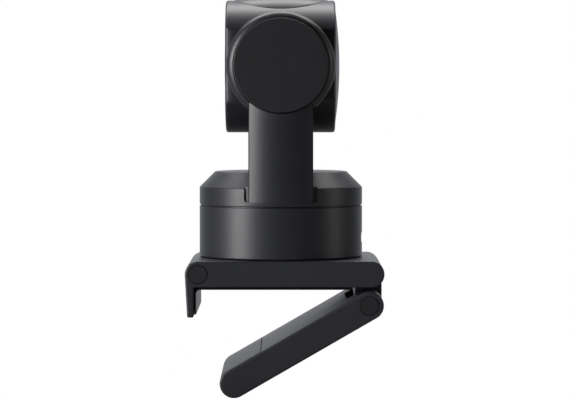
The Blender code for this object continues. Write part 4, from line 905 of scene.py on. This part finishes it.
GLASS_RADIUS = (high("front_glass") - low("front_glass"))[0] / 2
RING_RADIUS = (high("lens_ring") - low("lens_ring"))[0] / 2
glass_back = high("front_glass")[1]
cavity_front = HEAD_FRONT + 3.0 * MM
shell = head_slab("head_shell_moulding", HEAD_RADIUS, HEAD_FLAT, HEAD_FRONT, HEAD_REAR, HEAD_EDGE,
                  ease=0.7 * MM)
combine(shell, head_slab("cavity", HEAD_RADIUS - HEAD_WALL, HEAD_FLAT - HEAD_WALL, cavity_front,
                         HEAD_REAR + 3 * MM, 0.2 * MM))
seat = [(0, -HEAD_FRONT + MM), (GLASS_RADIUS + GAP, -HEAD_FRONT + MM),
        (GLASS_RADIUS + GAP, -glass_back - GAP), (RING_RADIUS + GAP, -glass_back - GAP),
        (RING_RADIUS + GAP, -cavity_front - MM), (0, -cavity_front - MM)]
combine(shell, turned("glass_seat", seat, TILT * (1, 0, 1), -Y, 180))
SHAFT = high("tilt_rotor")[2] - TILT[2] - 4.7 * MM
combine(shell, rod(SHAFT + GAP, HEAD_FLAT - 2 * HEAD_WALL, HEAD_FLAT + MM, TILT * (0, 1, 1), X, 72))
light_mid = (low("indicator_light") + high("indicator_light")) / 2
LIGHT_RADIUS = (high("indicator_light") - low("indicator_light"))[0] / 2
combine(shell, rod(LIGHT_RADIUS + GAP, -cavity_front - MM, -HEAD_FRONT + MM,
                   light_mid * (1, 0, 1), -Y, 36))

# %% [markdown]
# The inlaid cap on top of the head is the crown of an ellipsoid, cut to an oval. Its grid runs
# out from the middle and round the oval: the height is c sqrt(1 - (x/a)^2 - (y/b)^2), and the
# underside follows the drum, sqrt(R^2 - x^2). The same function, grown, cuts its seat.

# %% Top cap and its seat
CAP_OVAL = (high("top_cap") - low("top_cap"))[:2] / 2
CAP_DOME = np.array((15.1, 34.5, 12.0)) * MM
CAP_SINK = 0.6 * MM
OVAL_SEAM = 0.02 * MM
dome_mid = high("top_cap")[2] - CAP_DOME[2]


def oval_cap(name, grow, rise, sink, edge):
    """The cap's solid, with its rim drawn in by the edge radius where it is rounded."""
    a = np.linspace(0, 2 * np.pi, 144, endpoint=False)
    t = np.linspace(0, np.pi / 2, 6)
    out = np.concatenate((np.linspace(0, 1, 24)[:-1] * -edge, -edge * (1 - np.sin(t))))
    share = np.concatenate((np.linspace(0, 1, 24)[:-1], np.ones(6)))
    oval = (CAP_OVAL + grow)[:, None] * (np.cos(a), np.sin(a))
    away = unit(np.column_stack((oval[0] / CAP_OVAL[0] ** 2, oval[1] / CAP_OVAL[1] ** 2))).T
    push = np.where(share == 1, out + edge, 0)[:, None]
    x, y = (share[:, None] * (oval[i] - edge * away[i]) + push * away[i] for i in (0, 1))
    high_z = dome_mid + CAP_DOME[2] * np.sqrt(1 - (x / CAP_DOME[0]) ** 2 - (y / CAP_DOME[1]) ** 2)
    fall = np.concatenate((np.zeros(23), edge * (1 - np.cos(t))))
    top = np.stack((x, y, high_z + rise - fall[:, None]), -1)
    shares = np.linspace(1, 0, 12)[:, None]
    under_x, under_y = shares * oval[0], shares * oval[1]
    under_z = TILT[2] + np.sqrt((HEAD_RADIUS - sink) ** 2 - under_x ** 2)
    under = np.stack((under_x, under_y, under_z), -1)
    return mesh_piece(name, np.concatenate((top, under)), grid_faces(len(top) + len(under), 144))


combine(shell, oval_cap("cap_seat", OVAL_SEAM, 3 * MM, CAP_SINK + GAP, OVAL_SEAM / 2))
fit(shell, "head", "shell_plastic", "head_shell")
fit(oval_cap("top_cap_moulding", 0.0, 0.0, CAP_SINK, 0.05 * MM), "head", "shell_plastic",
    "top_cap")

# %% [markdown]
# The rear cover is a shallow dome that follows the head's flat. A turned dome cut by the flat
# would leave a sharp edge, so it is lofted instead: rings of the head's own outline, each
# smaller and higher than the last, z = rise (1 - s^2) along a sphere.

# %% Rear cover
cover_low, cover_high = low("rear_cover")[1], high("rear_cover")[1]
COVER_RADIUS = HEAD_RADIUS - HEAD_WALL - GAP
COVER_FLAT = high("rear_cover")[0]
edge_height = HEAD_REAR - 0.1 * MM
rim_outline = head_outline(COVER_RADIUS, COVER_FLAT)
share = np.linspace(1, 0, 40)
height = edge_height + (cover_high - edge_height) * (1 - share ** 2)
rows = [(1 - 0.4 * MM / COVER_RADIUS, cover_low), (1, cover_low + 0.4 * MM)]
rows += [(1, edge_height - 0.15 * MM), (1 - 0.1 * MM / COVER_RADIUS, edge_height - 0.03 * MM)]
scale = np.concatenate(([0.0, 0.5], [row[0] for row in rows], share[1:]))
depth = np.concatenate(([cover_low, cover_low], [row[1] for row in rows], height[1:]))
cover_points = np.stack((scale[:, None] * rim_outline[:, 0],
                         np.repeat(depth[:, None], len(rim_outline), 1),
                         TILT[2] + scale[:, None] * rim_outline[:, 1]), -1)
fit(mesh_piece("rear_cover_moulding", cover_points, grid_faces(len(scale), len(rim_outline))),
    "head", "shell_plastic", "rear_cover")

# %% [markdown]
# ## The front
# A black glass ring covers the front, with the lens in the middle of it. The lens ring's
# throat is stepped, as real ones are, to stop stray light, and the front element is a
# polished dome.

# %% Front glass, lens and light
glass_front = low("front_glass")[1]
front_centre = TILT * (1, 0, 1)
glass = turned("front_glass_ground",
               rounded([(RING_RADIUS + GAP, -glass_front), (GLASS_RADIUS, -glass_front),
                        (GLASS_RADIUS, -glass_back), (RING_RADIUS + GAP, -glass_back)],
                       np.array((0.1, 0.3, 0.1, 0.1)) * MM, 4), front_centre, -Y, 180, True)
combine(glass, rod(LIGHT_RADIUS + GAP, -cavity_front, -HEAD_FRONT + MM, light_mid * (1, 0, 1),
                   -Y, 36))
fit(glass, "head", "black_glass", "front_glass")

ring_front, ring_back = -low("lens_ring")[1], -high("lens_ring")[1]
THROAT = 6.6 * MM
BAFFLES = 4
step_z = np.linspace(ring_front - 0.3 * MM, ring_back + 1.2 * MM, BAFFLES + 1)
step_r = np.linspace(RING_RADIUS - 0.9 * MM, THROAT, BAFFLES + 1)
baffle = np.stack((np.column_stack((step_r[:-1], step_z[:-1])),
                   np.column_stack((step_r[:-1], step_z[1:]))), 1).reshape(-1, 2)
ring_shape = np.vstack((baffle[::-1], rounded(
    [(RING_RADIUS - 0.9 * MM, ring_front), (RING_RADIUS, ring_front), (RING_RADIUS, ring_back),
     (THROAT, ring_back)], np.array((0.1, 0.25, 0.1, 0.1)) * MM, 4)))
fit(turned("lens_ring_turned", ring_shape, front_centre, -Y, 180, True), "head",
    "shell_plastic", "lens_ring")

lens_face, lens_back = -low("lens_front")[1], -high("lens_front")[1]
LENS_RADIUS = (high("lens_front") - low("lens_front"))[0] / 2
BULGE = 1.6 * MM
sphere = (LENS_RADIUS ** 2 + BULGE ** 2) / (2 * BULGE)
t = np.linspace(0, math.asin(LENS_RADIUS / sphere), 32)
dome = np.column_stack((sphere * np.sin(t), lens_face - sphere + sphere * np.cos(t)))
lens_shape = np.vstack((dome, [(LENS_RADIUS, lens_back), (0, lens_back)]))
fit(turned("lens_front_polished", lens_shape, front_centre, -Y, 144), "head", "lens_glass",
    "lens_front")
light_front, light_back = -low("indicator_light")[1], -high("indicator_light")[1]
pipe = rounded([(0, light_front), (LIGHT_RADIUS, light_front), (LIGHT_RADIUS, light_back),
                (0, light_back)], np.array((0, 0.2, 0.1, 0)) * MM, 4, closed=False)
fit(turned("indicator_light_pipe", pipe, light_mid * (1, 0, 1), -Y, 48), "head", "indicator",
    "indicator_light")

# %% [markdown]
# ## Floor and light
# The object is shown on plain white. The floor and the surroundings are white to the camera,
# but dim to everything else on the camera's side, so that the dark plastic keeps its depth.
# Dark plastic is drawn by what it mirrors: a long softbox overhead and behind draws the bright
# band along the drum's top, and one at the left draws the soft stripes down the arm and base.

# %% Surroundings and floor
scene = bpy.context.scene
scene.view_settings.view_transform = "Standard"
BACK_FALL, FRONT_GLOW, BACK_GLOW = 3.5, 0.02, 0.95
world = bpy.data.worlds.new("white_studio")
scene.world = world
world.use_nodes = True
tree = world.node_tree
tree.nodes.clear()
place = add(tree, "ShaderNodeTexCoord").outputs["Generated"]
split = add(tree, "ShaderNodeSeparateXYZ", {"Vector": place})
back = add(tree, "ShaderNodeMath", {0: split.outputs["X"], 1: -1.0}, operation="MULTIPLY",
           use_clamp=True)
falling = add(tree, "ShaderNodeMath", {0: back.outputs[0], 1: BACK_FALL}, operation="POWER")
to_back = add(tree, "ShaderNodeMapRange", {"Value": falling.outputs[0], "To Min": FRONT_GLOW,
                                           "To Max": BACK_GLOW})
studio = add(tree, "ShaderNodeBackground", {"Color": linear("#f4f7ff"),
                                            "Strength": to_back.outputs["Result"]})
seen = add(tree, "ShaderNodeBackground", {"Color": linear("#ffffff"), "Strength": 1.0})
path = add(tree, "ShaderNodeLightPath")
pick = add(tree, "ShaderNodeMixShader", {0: path.outputs["Is Camera Ray"],
                                         1: studio.outputs["Background"],
                                         2: seen.outputs["Background"]})
add(tree, "ShaderNodeOutputWorld", {"Surface": pick.outputs["Shader"]})

FLOOR_DROP = 0.3 * MM
FLOOR_BACK, FLOOR_REACH = -0.3, 4.0              # metres; it stops short behind the object
floor_z = cad_low.z - FLOOR_DROP
corners = np.column_stack((rectangle(FLOOR_BACK, -FLOOR_REACH, FLOOR_REACH, FLOOR_REACH),
                           np.full(4, floor_z)))
floor_data = bpy.data.meshes.new("studio_floor")
floor_data.from_pydata(corners.tolist(), [], [[0, 1, 2, 3]])
floor = bpy.data.objects.new("studio_floor", floor_data)
scene.collection.objects.link(floor)
white, tree, shader = finish("white_seamless_paper", 0.9)
shader.inputs["Base Color"].default_value = linear("#808080")
glow = add(tree, "ShaderNodeEmission", {"Color": linear("#ffffff"), "Strength": 1.0})
path = add(tree, "ShaderNodeLightPath")
pick = add(tree, "ShaderNodeMixShader", {0: path.outputs["Is Camera Ray"],
                                         1: shader.outputs["BSDF"], 2: glow.outputs["Emission"]})
tree.links.new(pick.outputs["Shader"], tree.nodes["Material Output"].inputs["Surface"])
floor_data.materials.append(white)
print("floor", round(floor_z / MM, 2), "mm")


# %% Softboxes
def softbox(name, place, target, width, height, power, spread=180.0):
    """A rectangular area light at a place, facing a target; sizes in metres."""
    data = bpy.data.lights.new(name, "AREA")
    data.shape = "RECTANGLE"
    data.size, data.size_y = width, height
    data.energy = power
    data.spread = math.radians(spread)
    made = bpy.data.objects.new(name, data)
    made.location = place
    aim = Vector(target) - Vector(place)
    made.rotation_mode = "QUATERNION"
    made.rotation_quaternion = aim.to_track_quat("-Z", "Y")
    made.visible_camera = False
    scene.collection.objects.link(made)
    return made


MIDDLE = (0.0, 0.0, 0.05)
softbox("overhead_softbox", (-0.54, 0.0, 1.02), MIDDLE, 1.3, 0.4, 13.5)
softbox("left_softbox", (0.60, -1.04, 0.20), MIDDLE, 0.5, 0.9, 21.0)
softbox("right_strip", (0.19, 1.08, 0.15), MIDDLE, 0.3, 0.8, 1.9)
print("three softboxes")
